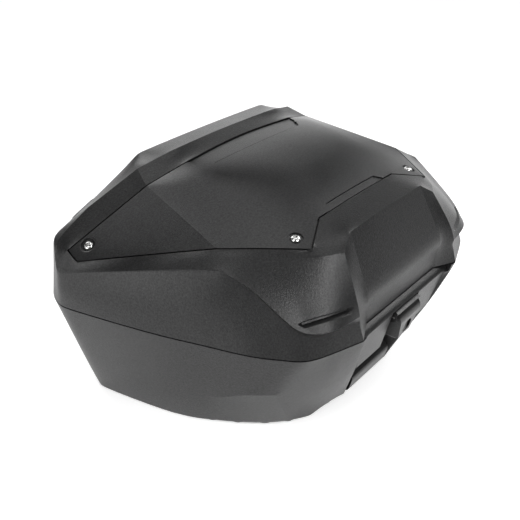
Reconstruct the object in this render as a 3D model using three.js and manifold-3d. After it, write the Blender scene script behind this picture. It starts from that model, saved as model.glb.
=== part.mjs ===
// A hard two-shell motorcycle luggage case: a base tray and a domed lid hinged at the rider side,
// with a screwed-on cover panel, a keyed latch and a release handle for its carrier.
// Millimetres. +X is the right-hand side seen from behind, -Y is the rear (lock side), +Z is up.
import * as THREE from 'three';
import { mergeVertices } from 'three/addons/utils/BufferGeometryUtils.js';
import Module from 'manifold-3d';

const wasm = await Module();
wasm.setup();

// ---------- driving dimensions ----------
const FIT_GAP = 0.3;            // clearance between pieces that touch
const PARTING_Z = 156;          // height of the joint between base and lid
const PARTING_GAP = 1.6;        // open line between the two shells
const BASE_TOP = PARTING_Z - PARTING_GAP / 2;
const LID_BOTTOM = PARTING_Z + PARTING_GAP / 2;
const FLOOR = 9;                // height of the base floor over the ground
const LID_WALL = 4;             // thickness of the lid's moulded wall
const PANEL_THICKNESS = 3.2;    // cover panel skin
const PANEL_SEAT = 7;           // depth of the seat that the cover panel lies in
const PANEL_GAP = 1.3;          // open line round the cover panel
const FRONT_SEAT = 5;           // depth of the seat of the rider-side cover
const FRONT_GAP = 1.2;          // open line round the rider-side cover
const FRONT_THICKNESS = 3;      // rider-side cover skin
const SCREW_HEAD_RADIUS = 6;
const SCREW_HEAD_HEIGHT = 3.2;
const SCREW_WELL_RADIUS = 9;
const SCREW_WELL_DEPTH = 3.4;
const SCREW_SHANK_RADIUS = 2.4;
const SCREW_LENGTH = 7;
const BOSS_RADIUS = 11.5;       // boss behind each cover screw, which reaches down to the lid
const HINGE_X = 125;            // middle of each hinge
const HINGE_Y = 203;            // axis of the lid hinges
const HINGE_Z = PARTING_Z;
const KNUCKLE_RADIUS = 5;
const KNUCKLE_HALF = 12;        // half the length of the lid leaf's knuckle
const HINGE_PIN_RADIUS = 2.5;
const LEAF_HALF = 32;           // half the length of a hinge leaf
const LEAF_REACH = 30;          // height of a leaf's far edge over the hinge axis
const LEAF_THICKNESS = 3;
const LEAF_SCREW_RADIUS = 2;
const LEAF_SCREW_HEIGHT = 21;   // height of a leaf's screws over the hinge axis
const LEVER_PIVOT = [-194, 137]; // y, z of the latch lever's pivot
const LEVER_PIN_RADIUS = 1.6;
const HOOK_PIVOT = [-154, 122]; // y, z of the latch hook's pivot
const HANDLE_PIVOT = [-131, 33]; // y, z of the carrier release handle's pivot
const HANDLE_HALF = 47;         // half the length of the release handle
const SMALL_PIN_RADIUS = 2;     // pins of the hook and of the release handle
const SEAT_HEIGHT = 5.5;        // roof of the carrier plate's seat in the floor
const BOX_CENTRE_SHIFT = -2;    // moves the assembly so that the origin is under the middle of its box

// ---------- materials ----------
const finish = (color, roughness, metalness) => new THREE.MeshStandardMaterial({ color, roughness, metalness });
const plastic = (colour, roughness) => finish(colour, roughness, 0);
const metal = (colour, roughness) => finish(colour, roughness, 1);
const shellBlack = plastic(0x1d1d1e, 0.55);
const panelBlack = plastic(0x202021, 0.45);
const partBlack = plastic(0x161617, 0.5);
const rubberBlack = plastic(0x0e0e0e, 0.9);
const bright = metal(0xb9bbbd, 0.3);
const steel = metal(0x85888b, 0.4);

// ---------- solids ----------
function toGeometry(positions, triangles) {
  const geometry = new THREE.BufferGeometry();
  geometry.setAttribute('position', new THREE.Float32BufferAttribute(positions, 3));
  geometry.setIndex(triangles);
  return geometry;
}

function toSolid(geometry) {
  const plain = geometry.clone();
  plain.deleteAttribute('normal');
  plain.deleteAttribute('uv');
  const merged = mergeVertices(plain, 1e-4);
  return new wasm.Manifold(new wasm.Mesh({
    numProp: 3,
    vertProperties: new Float32Array(merged.attributes.position.array),
    triVerts: new Uint32Array(merged.index.array),
  }));
}

function fromSolid(solid) {
  const mesh = solid.getMesh();
  return toGeometry(Array.from(mesh.vertProperties), Array.from(mesh.triVerts));
}

const cutAll = (solid, tools) => tools.reduce((left, tool) => left.subtract(toSolid(tool)), solid);

function block(from, to) {
  const size = to.map((v, i) => v - from[i]);
  const geometry = new THREE.BoxGeometry(...size);
  return geometry.translate(...from.map((v, i) => v + size[i] / 2));
}

function rodX(radius, x0, x1, y, z, sides = 16) {
  const geometry = new THREE.CylinderGeometry(radius, radius, x1 - x0, sides);
  return geometry.rotateZ(-Math.PI / 2).translate((x0 + x1) / 2, y, z);
}

// A side profile in (y, z), extruded along X.
function slabX(outline, x0, x1) {
  const shape = new THREE.Shape(outline.map(([y, z]) => new THREE.Vector2(y, z)));
  const geometry = new THREE.ExtrudeGeometry(shape, { depth: x1 - x0, bevelEnabled: false });
  const turn = new THREE.Matrix4().set(0, 0, 1, x0, 1, 0, 0, 0, 0, 1, 0, 0, 0, 0, 0, 1);
  return geometry.applyMatrix4(turn);
}

// Placement of a piece whose own +Z is the surface normal at a point.
function placed(geometry, point, normal) {
  const turn = new THREE.Quaternion().setFromUnitVectors(new THREE.Vector3(0, 0, 1), normal);
  return geometry.applyQuaternion(turn).translate(...point);
}

function tubeZ(radius, z0, z1, sides = 24) {
  const geometry = new THREE.CylinderGeometry(radius, radius, z1 - z0, sides);
  return geometry.rotateX(Math.PI / 2).translate(0, 0, (z0 + z1) / 2);
}

// ---------- control cages ----------
// A cage is half of the shell (x >= 0): named points, faces, and the edges that stay crisp.
// It is mirrored in X and smoothed by Catmull-Clark subdivision.
function buildCage(points, faces, creases, caps) {
  const vertices = [];
  const index = {};
  for (const [name, [x, y, z]] of Object.entries(points)) {
    index[`${name}+`] = vertices.push([x, y, z]) - 1;
    index[`${name}-`] = x === 0 ? index[`${name}+`] : vertices.push([-x, y, z]) - 1;
  }
  const cage = { vertices, faces: [], sharp: new Map() };
  for (const [tag, ...names] of faces) {
    cage.faces.push({ tag, loop: names.map((n) => index[`${n}+`]) });
    cage.faces.push({ tag, loop: names.map((n) => index[`${n}-`]).reverse() });
  }
  for (const { names, up } of caps) {
    const loop = [...names.map((n) => `${n}+`), ...names.slice(1, -1).reverse().map((n) => `${n}-`)];
    cage.faces.push({ tag: 'cap', loop: (up ? loop : loop.reverse()).map((n) => index[n]) });
  }
  for (const [sharpness, ...names] of creases) {
    for (let i = 1; i < names.length; i += 1) {
      for (const side of ['+', '-']) {
        cage.sharp.set(edgeKey(index[names[i - 1] + side], index[names[i] + side]), sharpness);
      }
    }
  }
  return cage;
}

const edgeKey = (a, b) => (a < b ? `${a},${b}` : `${b},${a}`);
const average = (list) => [0, 1, 2].map((k) => list.reduce((sum, p) => sum + p[k], 0) / list.length);

function subdivide({ vertices, faces, sharp }) {
  const centres = faces.map(({ loop }) => average(loop.map((i) => vertices[i])));
  const edges = new Map();
  faces.forEach(({ loop }, f) => loop.forEach((a, k) => {
    const b = loop[(k + 1) % loop.length];
    const key = edgeKey(a, b);
    if (!edges.has(key)) edges.set(key, { a, b, faces: [], sharpness: sharp.get(key) ?? 0 });
    edges.get(key).faces.push(f);
  }));
  const around = vertices.map(() => ({ faces: new Set(), edges: [] }));
  faces.forEach(({ loop }, f) => loop.forEach((i) => around[i].faces.add(f)));
  const next = vertices.slice();
  const sharpNext = new Map();
  let count = next.length;
  for (const edge of edges.values()) {
    const crisp = edge.sharpness > 0 || edge.faces.length < 2;
    const ends = [vertices[edge.a], vertices[edge.b]];
    edge.middle = average(ends);
    next.push(crisp ? edge.middle : average([...ends, ...edge.faces.map((f) => centres[f])]));
    edge.index = count;
    count += 1;
    edge.crisp = crisp;
    around[edge.a].edges.push(edge);
    around[edge.b].edges.push(edge);
    if (edge.sharpness > 1) {
      sharpNext.set(edgeKey(edge.a, edge.index), edge.sharpness - 1);
      sharpNext.set(edgeKey(edge.b, edge.index), edge.sharpness - 1);
    }
  }
  vertices.forEach((p, i) => {
    const crisp = around[i].edges.filter((edge) => edge.crisp);
    if (crisp.length > 2) return;
    if (crisp.length === 2) {
      const far = crisp.map((edge) => vertices[edge.a === i ? edge.b : edge.a]);
      next[i] = [0, 1, 2].map((k) => 0.75 * p[k] + 0.125 * (far[0][k] + far[1][k]));
      return;
    }
    const n = around[i].edges.length;
    const faceMean = average([...around[i].faces].map((f) => centres[f]));
    const edgeMean = average(around[i].edges.map((edge) => edge.middle));
    next[i] = [0, 1, 2].map((k) => (faceMean[k] + 2 * edgeMean[k] + (n - 3) * p[k]) / n);
  });
  const quads = [];
  faces.forEach(({ loop, tag }, f) => {
    const centre = next.push(centres[f]) - 1;
    loop.forEach((i, k) => {
      const after = edges.get(edgeKey(i, loop[(k + 1) % loop.length])).index;
      const before = edges.get(edgeKey(i, loop[(k + loop.length - 1) % loop.length])).index;
      quads.push({ tag, loop: [i, after, centre, before] });
    });
  });
  return { vertices: next, faces: quads, sharp: sharpNext };
}

// The cage is swollen until the smoothed surface passes through its named points.
function fitted(cage, rounds = 5) {
  const goal = cage.vertices;
  let moved = goal.map((p) => p.slice());
  for (let round = 0; round < rounds; round += 1) {
    const smooth = subdivide(subdivide({ ...cage, vertices: moved })).vertices;
    moved = moved.map((p, i) => p.map((v, k) => v + 0.8 * (goal[i][k] - smooth[i][k])));
  }
  return { ...cage, vertices: moved };
}

function triangles(faces) {
  return faces.flatMap(({ loop }) => loop.slice(2).flatMap((_, k) => [loop[0], loop[k + 1], loop[k + 2]]));
}

const surfaceGeometry = ({ vertices, faces }) => toGeometry(vertices.flat(), triangles(faces));

// Unit normals at the points of the faces of one tag.
function normalsOf({ vertices, faces }) {
  const sums = new Map();
  const a = new THREE.Vector3();
  const b = new THREE.Vector3();
  for (const { loop } of faces) {
    const [p, q, r, s] = loop.map((i) => vertices[i]);
    a.set(r[0] - p[0], r[1] - p[1], r[2] - p[2]);
    b.set(s[0] - q[0], s[1] - q[1], s[2] - q[2]);
    const normal = a.cross(b).clone();
    for (const i of loop) sums.set(i, (sums.get(i) ?? new THREE.Vector3()).add(normal));
  }
  for (const normal of sums.values()) normal.normalize();
  return sums;
}

// Edges that only one of the faces has, as a map from each point to the next.
function rimOf(faces) {
  const directed = new Map();
  for (const { loop } of faces) {
    loop.forEach((a, k) => {
      const b = loop[(k + 1) % loop.length];
      directed.set(`${a},${b}`, [a, b]);
    });
  }
  return [...directed.values()].filter(([a, b]) => !directed.has(`${b},${a}`));
}

const moveAlong = (p, direction, distance) => [p[0] + direction.x * distance, p[1] + direction.y * distance,
  p[2] + direction.z * distance];

// Sinks the faces of one tag by a depth, with a wall all round.
function sunk(surface, tag, depth) {
  const chosen = surface.faces.filter((face) => face.tag === tag);
  const normals = normalsOf({ vertices: surface.vertices, faces: chosen });
  const vertices = surface.vertices.slice();
  const low = new Map();
  for (const [i, normal] of normals) low.set(i, vertices.push(moveAlong(vertices[i], normal, -depth)) - 1);
  const walls = rimOf(chosen).map(([a, b]) => ({ tag: 'wall', loop: [a, b, low.get(b), low.get(a)] }));
  const faces = surface.faces.map((face) => (face.tag === tag
    ? { tag, loop: face.loop.map((i) => low.get(i)) } : face));
  return { vertices, faces: [...faces, ...walls] };
}

// A skin that fills the faces of one tag, with a gap at its rim and a thickness.
function skin(surface, tag, gap, thickness) {
  const chosen = surface.faces.filter((face) => face.tag === tag);
  const normals = normalsOf({ vertices: surface.vertices, faces: chosen });
  const rim = rimOf(chosen);
  const inward = new Map();
  for (const [a, b] of rim) {
    const [from, to] = [a, b].map((i) => new THREE.Vector3(...surface.vertices[i]));
    const along = to.sub(from).normalize();
    for (const i of [a, b]) {
      const side = normals.get(i).clone().cross(along).normalize();
      inward.set(i, [...(inward.get(i) ?? []), side]);
    }
  }
  const vertices = [];
  const upper = new Map();
  const lower = new Map();
  for (const [i, normal] of normals) {
    let point = surface.vertices[i];
    if (inward.has(i)) {
      const [first, second] = inward.get(i);
      const mean = first.clone().add(second).normalize();
      point = moveAlong(point, mean, gap / Math.max(0.4, mean.dot(first)));
    }
    upper.set(i, vertices.push(point) - 1);
    lower.set(i, vertices.push(moveAlong(point, normal, -thickness)) - 1);
  }
  const faces = chosen.flatMap(({ loop: [first, ...others] }) => [
    { tag, loop: [first, ...others].map((i) => upper.get(i)) },
    { tag, loop: [first, ...others.reverse()].map((i) => lower.get(i)) },
  ]);
  for (const [a, b] of rim) faces.push({ tag, loop: [upper.get(b), upper.get(a), lower.get(a), lower.get(b)] });
  return { vertices, faces };
}

// ---------- lid cage ----------
const lidPoints = {
  rimMid: [0, -187, LID_BOTTOM], rimNotch: [85, -187, LID_BOTTOM], rimTip: [118, -204, LID_BOTTOM],
  rimA: [156, -191, LID_BOTTOM], rimB: [190, -176, LID_BOTTOM], rimC: [207, -152, LID_BOTTOM],
  rimD: [225, -118, LID_BOTTOM], rimE: [243, -62, LID_BOTTOM], rimF: [263, 0, LID_BOTTOM],
  rimG: [288, 102, LID_BOTTOM], rimH: [291, 140, LID_BOTTOM], rimI: [268, 176, LID_BOTTOM],
  rimJ: [215, 189, LID_BOTTOM], rimK: [165, 193, LID_BOTTOM], rimL: [110, 194, LID_BOTTOM],
  rimM: [0, 194, LID_BOTTOM],
  plateFootMid: [0, -191, 197], plateFoot: [92, -191, 197], plateTopMid: [0, -155, 272],
  plateTop: [83, -155, 270], plateShoulder: [109, -165, 257], plateSide: [114, -186, 210],
  podTip: [119, -197, 188], podTipUnder: [119, -196, 181],
  podA: [164, -190, 189], podB: [188, -174, 192], podC: [203, -156, 206], podD: [210, -114, 233],
  underA: [157, -182, 180], underB: [182, -168, 183], underC: [198, -151, 201], underD: [207, -110, 229],
  podTop: [132, -146, 255], podTopSide: [168, -107, 254], podTopEnd: [205, -66, 253],
  podMidA: [150, -173, 224], podMidB: [180, -150, 227], crestStart: [218, -75, 248],
  coverMid: [0, -112, 276], coverInner: [84, -112, 274], coverCorner: [133, -137, 261],
  coverSideA: [166, -95, 261.5], coverSideB: [200, -52, 261], coverSideC: [227, 0, 249],
  wingLow: [281, 103, 224], wingTip: [277, 125, 231], ridgeFront: [169, 94, 288],
  wingTop: [223, 110, 259],
  ridgeMid: [184, 22, 275], coverFrontSide: [106, 80, 305], coverFrontMid: [0, 86, 307],
  crownRearMid: [0, -45, 295], crownRear: [98, -45, 291], crownFrontMid: [0, 25, 305], crownFront: [103, 25, 302.5],
  seamMid: [0, 112, 312], seamSide: [106, 110, 311], seamCorner: [158, 120, 300], browA: [225, 142, 264],
  browB: [270, 148, 236], browEnd: [284, 141, 222],
  crestA: [248, 0, 236], crestB: [285, 100, 211], crestEnd: [290, 132, 205],
  wallA: [234, -66, 205], wallB: [259, 0, 200], wallC: [289, 101, 185],
  frontTopMid: [0, 150, 308], frontTop: [114, 149, 307], frontShoulder: [133, 157, 296],
  frontSide: [172, 202, 238], frontFoot: [112, 205, 238], frontFootMid: [0, 205, 238],
  cornerA: [222, 184, 234], cornerB: [262, 169, 226],
};

const lidFaces = [
  ['shell', 'plateTopMid', 'plateFootMid', 'plateFoot', 'plateTop'],
  ['shell', 'plateFootMid', 'rimMid', 'rimNotch', 'plateFoot'],
  ['shell', 'plateTop', 'plateFoot', 'plateSide', 'plateShoulder'],
  ['shell', 'plateFoot', 'rimNotch', 'rimTip', 'podTipUnder', 'podTip', 'plateSide'],
  ['shell', 'coverMid', 'plateTopMid', 'plateTop', 'coverInner'],
  ['shell', 'coverInner', 'plateTop', 'plateShoulder', 'podTop', 'coverCorner'],
  ['shell', 'plateShoulder', 'plateSide', 'podMidA', 'podTop'],
  ['shell', 'plateSide', 'podTip', 'podA', 'podMidA'],
  ['shell', 'podTop', 'podMidA', 'podMidB', 'podTopSide'],
  ['shell', 'podMidA', 'podA', 'podB', 'podMidB'],
  ['shell', 'podMidB', 'podB', 'podC'],
  ['shell', 'podTopSide', 'podMidB', 'podC', 'podD'],
  ['shell', 'podTopSide', 'podD', 'crestStart', 'podTopEnd'],
  ['shell', 'podTip', 'podTipUnder', 'underA', 'podA'],
  ['shell', 'podA', 'underA', 'underB', 'podB'],
  ['shell', 'podB', 'underB', 'underC', 'podC'],
  ['shell', 'podC', 'underC', 'underD', 'podD'],
  ['shell', 'podD', 'underD', 'crestStart'],
  ['shell', 'podTipUnder', 'rimTip', 'rimA', 'underA'],
  ['shell', 'underA', 'rimA', 'rimB', 'underB'],
  ['shell', 'underB', 'rimB', 'rimC', 'underC'],
  ['shell', 'underC', 'rimC', 'rimD', 'underD'],
  ['shell', 'underD', 'rimD', 'rimE', 'wallA', 'crestStart'],
  ['shell', 'wallA', 'rimE', 'rimF', 'wallB'],
  ['shell', 'wallB', 'rimF', 'rimG', 'wallC'],
  ['shell', 'crestStart', 'wallA', 'wallB', 'crestA'],
  ['shell', 'crestA', 'wallB', 'wallC', 'crestB'],
  ['shell', 'crestB', 'wallC', 'rimG', 'rimH', 'crestEnd'],
  ['shell', 'coverCorner', 'podTop', 'podTopSide', 'coverSideA'],
  ['shell', 'coverSideA', 'podTopSide', 'podTopEnd', 'coverSideB'],
  ['shell', 'coverSideB', 'podTopEnd', 'crestStart', 'crestA', 'coverSideC'],
  ['shell', 'coverSideC', 'crestA', 'crestB', 'wingLow'],
  ['shell', 'wingLow', 'crestB', 'crestEnd', 'wingTip'],
  ['cover', 'coverMid', 'coverInner', 'crownRear', 'crownRearMid'],
  ['cover', 'coverInner', 'coverCorner', 'coverSideA', 'crownRear'],
  ['cover', 'crownRear', 'coverSideA', 'coverSideB', 'ridgeMid'],
  ['cover', 'crownRearMid', 'crownRear', 'crownFront', 'crownFrontMid'],
  ['cover', 'crownRear', 'ridgeMid', 'ridgeFront', 'crownFront'],
  ['cover', 'crownFrontMid', 'crownFront', 'coverFrontSide', 'coverFrontMid'],
  ['cover', 'crownFront', 'ridgeFront', 'coverFrontSide'],
  ['cover', 'ridgeMid', 'coverSideB', 'coverSideC', 'wingTop', 'ridgeFront'],
  ['cover', 'wingTop', 'coverSideC', 'wingLow', 'wingTip'],
  ['shell', 'coverFrontMid', 'coverFrontSide', 'seamSide', 'seamMid'],
  ['shell', 'coverFrontSide', 'ridgeFront', 'seamCorner', 'seamSide'],
  ['shell', 'ridgeFront', 'wingTop', 'browA', 'seamCorner'],
  ['shell', 'wingTop', 'wingTip', 'browB', 'browA'],
  ['shell', 'wingTip', 'crestEnd', 'browEnd', 'browB'],
  ['front', 'seamMid', 'seamSide', 'frontTop', 'frontTopMid'],
  ['front', 'seamSide', 'seamCorner', 'frontShoulder', 'frontTop'],
  ['front', 'frontTopMid', 'frontTop', 'frontFoot', 'frontFootMid'],
  ['front', 'frontTop', 'frontShoulder', 'frontSide', 'frontFoot'],
  ['front', 'seamCorner', 'browA', 'cornerA', 'frontSide', 'frontShoulder'],
  ['shell', 'browA', 'browB', 'cornerB', 'cornerA'],
  ['shell', 'browB', 'browEnd', 'cornerB'],
  ['shell', 'cornerB', 'browEnd', 'crestEnd', 'rimH', 'rimI'],
  ['shell', 'cornerA', 'cornerB', 'rimI', 'rimJ'],
  ['shell', 'frontSide', 'cornerA', 'rimJ', 'rimK'],
  ['shell', 'frontFoot', 'frontSide', 'rimK', 'rimL'],
  ['shell', 'frontFootMid', 'frontFoot', 'rimL', 'rimM'],
];

const lidRim = ['rimMid', 'rimNotch', 'rimTip', 'rimA', 'rimB', 'rimC', 'rimD', 'rimE', 'rimF', 'rimG', 'rimH',
  'rimI', 'rimJ', 'rimK', 'rimL', 'rimM'];

const ALWAYS = 9;
const lidCreases = [
  [ALWAYS, ...lidRim],
  [ALWAYS, 'coverMid', 'coverInner', 'coverCorner', 'coverSideA', 'coverSideB', 'coverSideC', 'wingLow',
    'wingTip', 'wingTop', 'ridgeFront', 'coverFrontSide', 'coverFrontMid'],
  [ALWAYS, 'seamMid', 'seamSide', 'seamCorner', 'browA', 'cornerA', 'frontSide', 'frontFoot',
    'frontFootMid'],
  [2, 'ridgeFront', 'ridgeMid', 'coverSideB'],
  [2, 'plateTopMid', 'plateTop', 'plateFoot', 'rimNotch'],
  [2, 'plateTop', 'plateShoulder', 'plateSide', 'podTip', 'podTipUnder', 'rimTip'],
  [2, 'plateFootMid', 'plateFoot'],
  [2, 'podTip', 'podA', 'podB', 'podC', 'podD', 'crestStart'],
  [2, 'podTipUnder', 'underA', 'underB', 'underC', 'underD', 'crestStart'],
  [1, 'podTop', 'podTopSide', 'podTopEnd'],
  [2, 'crestStart', 'crestA', 'crestB', 'crestEnd'],
  [2, 'browA', 'browB', 'browEnd', 'crestEnd'],
  [2, 'frontTopMid', 'frontTop', 'frontShoulder', 'frontSide'],
];

// ---------- base cage ----------
const basePoints = {
  rimMid: [0, -196, BASE_TOP], rimSide: [60, -198.5, BASE_TOP], rimTip: [118, -204, BASE_TOP],
  rimA: [156, -191, BASE_TOP], rimB: [190, -176, BASE_TOP], rimC: [207, -152, BASE_TOP],
  rimD: [225, -118, BASE_TOP], rimE: [243, -62, BASE_TOP], rimF: [263, 0, BASE_TOP],
  rimG: [288, 102, BASE_TOP], rimH: [291, 140, BASE_TOP], rimI: [268, 176, BASE_TOP],
  rimJ: [215, 189, BASE_TOP], rimK: [165, 193, BASE_TOP], rimL: [110, 194, BASE_TOP], rimM: [0, 194, BASE_TOP],
  lipMid: [0, -196, 148], lipSide: [60, -198, 148], lipTip: [113, -202, 147],
  panelTopMid: [0, -181, 146], panelTopA: [60, -181, 146], panelTopB: [104, -181, 146],
  panelLowMid: [0, -148, 50], panelLowA: [40, -148, 50], panelLowB: [61, -146, 50],
  pocketTopMid: [0, -128, 47], pocketTopA: [38, -128, 47], pocketTopB: [57, -128, 47],
  pocketLowMid: [0, -124, 0], pocketLowA: [30, -124, 0], pocketLowB: [46, -124, 0],
  edgeA: [93, -182, 91], edgeB: [69, -161, 45], edgeC: [51, -143, 0],
  facetA: [128, -170, 84], facetFoot: [80, -137, 0], facetFootSide: [116, -132, 0],
  bevelA: [183, -126, 76], bevelB: [194, -104, 71], bevelC: [204, -77, 63], bevelD: [217, -43, 53],
  bevelE: [238, 13, 45], bevelF: [259, 104, 45], bevelG: [260, 139, 45], bevelH: [240, 164, 45],
  bevelI: [194, 177, 45], bevelJ: [150, 181, 45], bevelK: [104, 182, 45], bevelL: [0, 182, 45],
  footA: [143, -118, 0], footB: [166, -96, 0], footC: [188, -66, 0], footD: [205, -37, 0], footE: [227, 13, 0],
  footF: [246, 104, 0], footG: [247, 136, 0], footH: [226, 157, 0], footI: [184, 168, 0], footJ: [142, 173, 0],
  footK: [98, 174, 0], footL: [0, 174, 0],
};

const baseRim = ['rimMid', 'rimSide', 'rimTip', 'rimA', 'rimB', 'rimC', 'rimD', 'rimE', 'rimF', 'rimG', 'rimH',
  'rimI', 'rimJ', 'rimK', 'rimL', 'rimM'];
const letters = [...'ABCDEFGHIJKL'];
const bevelRow = letters.map((letter) => `bevel${letter}`);
const footRow = letters.map((letter) => `foot${letter}`);
const baseFoot = ['pocketLowMid', 'pocketLowA', 'pocketLowB', 'edgeC', 'facetFoot', 'facetFootSide',
  ...footRow];

const strip = (tag, upper, lower) =>
  upper.slice(1).map((name, i) => [tag, upper[i], lower[i], lower[i + 1], name]);
const sideRow = (row) => [`${row}Mid`, `${row}Side`, `${row}Tip`];
const recessRow = (row) => [`${row}Mid`, `${row}A`, `${row}B`];

const baseFaces = [
  ...strip('shell', sideRow('rim'), sideRow('lip')),
  ...strip('shell', sideRow('lip'), recessRow('panelTop')),
  ...strip('shell', recessRow('panelTop'), recessRow('panelLow')),
  ...strip('shell', recessRow('panelLow'), recessRow('pocketTop')),
  ...strip('shell', recessRow('pocketTop'), recessRow('pocketLow')),
  ['shell', 'lipTip', 'panelTopB', 'panelLowB', 'edgeB', 'edgeA'],
  ['shell', 'panelLowB', 'pocketTopB', 'pocketLowB', 'edgeC', 'edgeB'],
  ['shell', 'rimTip', 'lipTip', 'edgeA', 'facetA', 'rimA'],
  ['shell', 'edgeA', 'edgeB', 'edgeC', 'facetFoot', 'facetA'],
  ['shell', 'facetA', 'facetFoot', 'facetFootSide', 'footA', 'bevelA'],
  ['shell', 'rimA', 'facetA', 'bevelA', 'rimB'],
  ...strip('shell', baseRim.slice(4), bevelRow),
  ...strip('shell', bevelRow, footRow),
];

const baseCreases = [
  [ALWAYS, ...baseRim],
  [2, ...baseFoot],
  [1, 'lipMid', 'lipSide', 'lipTip'],
  [2, 'panelTopMid', 'panelTopA', 'panelTopB', 'panelLowB'],
  [2, 'rimTip', 'lipTip', 'edgeA', 'edgeB', 'edgeC'],
  [2, 'panelLowMid', 'panelLowA', 'panelLowB', 'pocketTopB', 'pocketLowB'],
  [2, 'pocketTopMid', 'pocketTopA', 'pocketTopB'],
  [2, 'rimA', 'facetA'],
  [1, 'footA', 'bevelA', 'bevelB', 'bevelC'],
];

// ---------- shells ----------
const lidOuter = subdivide(fitted(buildCage(lidPoints, lidFaces, lidCreases, [{ names: lidRim, up: false }])));
const baseOuter = subdivide(fitted(buildCage(basePoints, baseFaces, baseCreases,
  [{ names: baseRim, up: true }, { names: baseFoot, up: false }])));

// A hollow through rings of half outlines (x >= 0), listed from the top ring to the bottom one.
function loft(rings) {
  const full = rings.map(({ z, half }) => {
    const mirrored = half.slice(1, -1).reverse().map(([x, y]) => [-x, y]);
    return [...half, ...mirrored].map(([x, y]) => [x, y, z]);
  });
  const size = full[0].length;
  const index = [];
  for (let r = 1; r < full.length; r += 1) {
    for (let i = 0; i < size; i += 1) {
      const j = (i + 1) % size;
      const [a, b, c, d] = [(r - 1) * size + i, r * size + i, r * size + j, (r - 1) * size + j];
      index.push(a, b, c, a, c, d);
    }
  }
  const flat = (ring) => THREE.ShapeUtils.triangulateShape(ring.map(([x, y]) => new THREE.Vector2(x, y)), []);
  const last = (full.length - 1) * size;
  for (const [a, b, c] of flat(full[0])) index.push(a, b, c);
  for (const [a, b, c] of flat(full.at(-1))) index.push(last + a, last + c, last + b);
  return toGeometry(full.flat(2), index);
}

const baseHollow = loft([
  { z: BASE_TOP + 1, half: [[0, -176], [60, -176], [104, -178], [150, -181], [184, -169], [200, -149],
    [218, -117], [236, -61], [256, 1], [281, 102], [283, 138], [262, 171], [197, 185], [108, 188], [0, 188]] },
  { z: 57, half: [[0, -145], [60, -145], [72, -146], [112, -148], [168, -119], [184, -99], [198, -72],
    [213, -42], [236, 10], [256, 102], [259, 136], [239, 161], [192, 174], [103, 180], [0, 180]] },
  { z: 54, half: [[0, -123], [60, -123], [72, -130], [112, -147], [167, -119], [183, -99], [197, -72],
    [212, -42], [235, 10], [255, 102], [258, 136], [238, 161], [191, 174], [103, 180], [0, 180]] },
  { z: FLOOR, half: [[0, -118], [60, -118], [78, -126], [112, -123], [140, -111], [163, -91], [184, -62],
    [201, -35], [223, 13], [242, 103], [242, 133], [223, 153], [181, 164], [98, 170], [0, 170]] },
]);

// A hollow that keeps a wall behind every part of a dome's skin, found by looking outward from a centre.
function domeHollow(skinGeometry, centre, wall, rings, sectors) {
  const skinMesh = new THREE.Mesh(skinGeometry, new THREE.MeshBasicMaterial({ side: THREE.DoubleSide }));
  const ray = new THREE.Raycaster();
  const reach = [];
  for (let r = 0; r < rings; r += 1) {
    const tilt = (r / rings) * (Math.PI / 2);
    reach.push(Array.from({ length: sectors }, (_, i) => {
      const turn = (i / sectors) * 2 * Math.PI;
      const level = Math.cos(tilt);
      const out = new THREE.Vector3(Math.cos(turn) * level, Math.sin(turn) * level, Math.sin(tilt));
      ray.set(centre, out);
      const [hit] = ray.intersectObject(skinMesh);
      return { out, plane: new THREE.Plane(hit.face.normal, wall - hit.face.normal.dot(hit.point)) };
    }));
  }
  // Each ray stops at the nearest of the wall planes that its neighbours met.
  const nearest = (r, i) => {
    const { out } = reach[r][i];
    const stops = [-1, 0, 1].flatMap((dr) => [-1, 0, 1].map((di) => {
      const { plane } = (reach[r + dr] ?? reach[r])[(i + di + sectors) % sectors];
      const facing = plane.normal.dot(out);
      return facing > 0.25 ? -plane.distanceToPoint(centre) / facing : Infinity;
    }));
    return Math.min(...stops);
  };
  const points = [];
  for (let i = 0; i < sectors; i += 1) {
    const { x, y } = centre.clone().addScaledVector(reach[0][i].out, nearest(0, i));
    points.push([x, y, LID_BOTTOM - 1]);
  }
  reach.forEach((ring, r) => ring.forEach(({ out }, i) => {
    points.push(centre.clone().addScaledVector(out, nearest(r, i)).toArray());
  }));
  ray.set(centre, new THREE.Vector3(0, 0, 1));
  const roof = centre.z + ray.intersectObject(skinMesh)[0].distance - wall * 1.2;
  const top = points.push([centre.x, centre.y, roof]) - 1;
  const bottom = points.push([centre.x, centre.y, LID_BOTTOM - 1]) - 1;
  const index = [];
  for (let i = 0; i < sectors; i += 1) {
    const j = (i + 1) % sectors;
    for (let r = 0; r < rings; r += 1) {
      const [a, b, c, d] = [r * sectors + i, r * sectors + j, (r + 1) * sectors + j, (r + 1) * sectors + i];
      index.push(a, b, c, a, c, d);
    }
    index.push(rings * sectors + i, rings * sectors + j, top, j, i, bottom);
  }
  return toGeometry(points.flat(), index);
}

// ---------- cover screws ----------
// Point on the cover's outer surface and the direction that its screw faces, for the right-hand half.
const screwPlaces = { rear: { point: [131, -112, 268], normal: [0.2, -0.27, 0.94] },
  wing: { point: [259, 106, 238], normal: [0.5, -0.18, 0.85] } };

const screws = Object.entries(screwPlaces).flatMap(([name, { point, normal }]) => [1, -1].map((side) => ({
  name: `${name}_${side > 0 ? 'right' : 'left'}`,
  point: [point[0] * side, point[1], point[2]],
  normal: new THREE.Vector3(normal[0] * side, normal[1], normal[2]).normalize(),
})));

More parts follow.
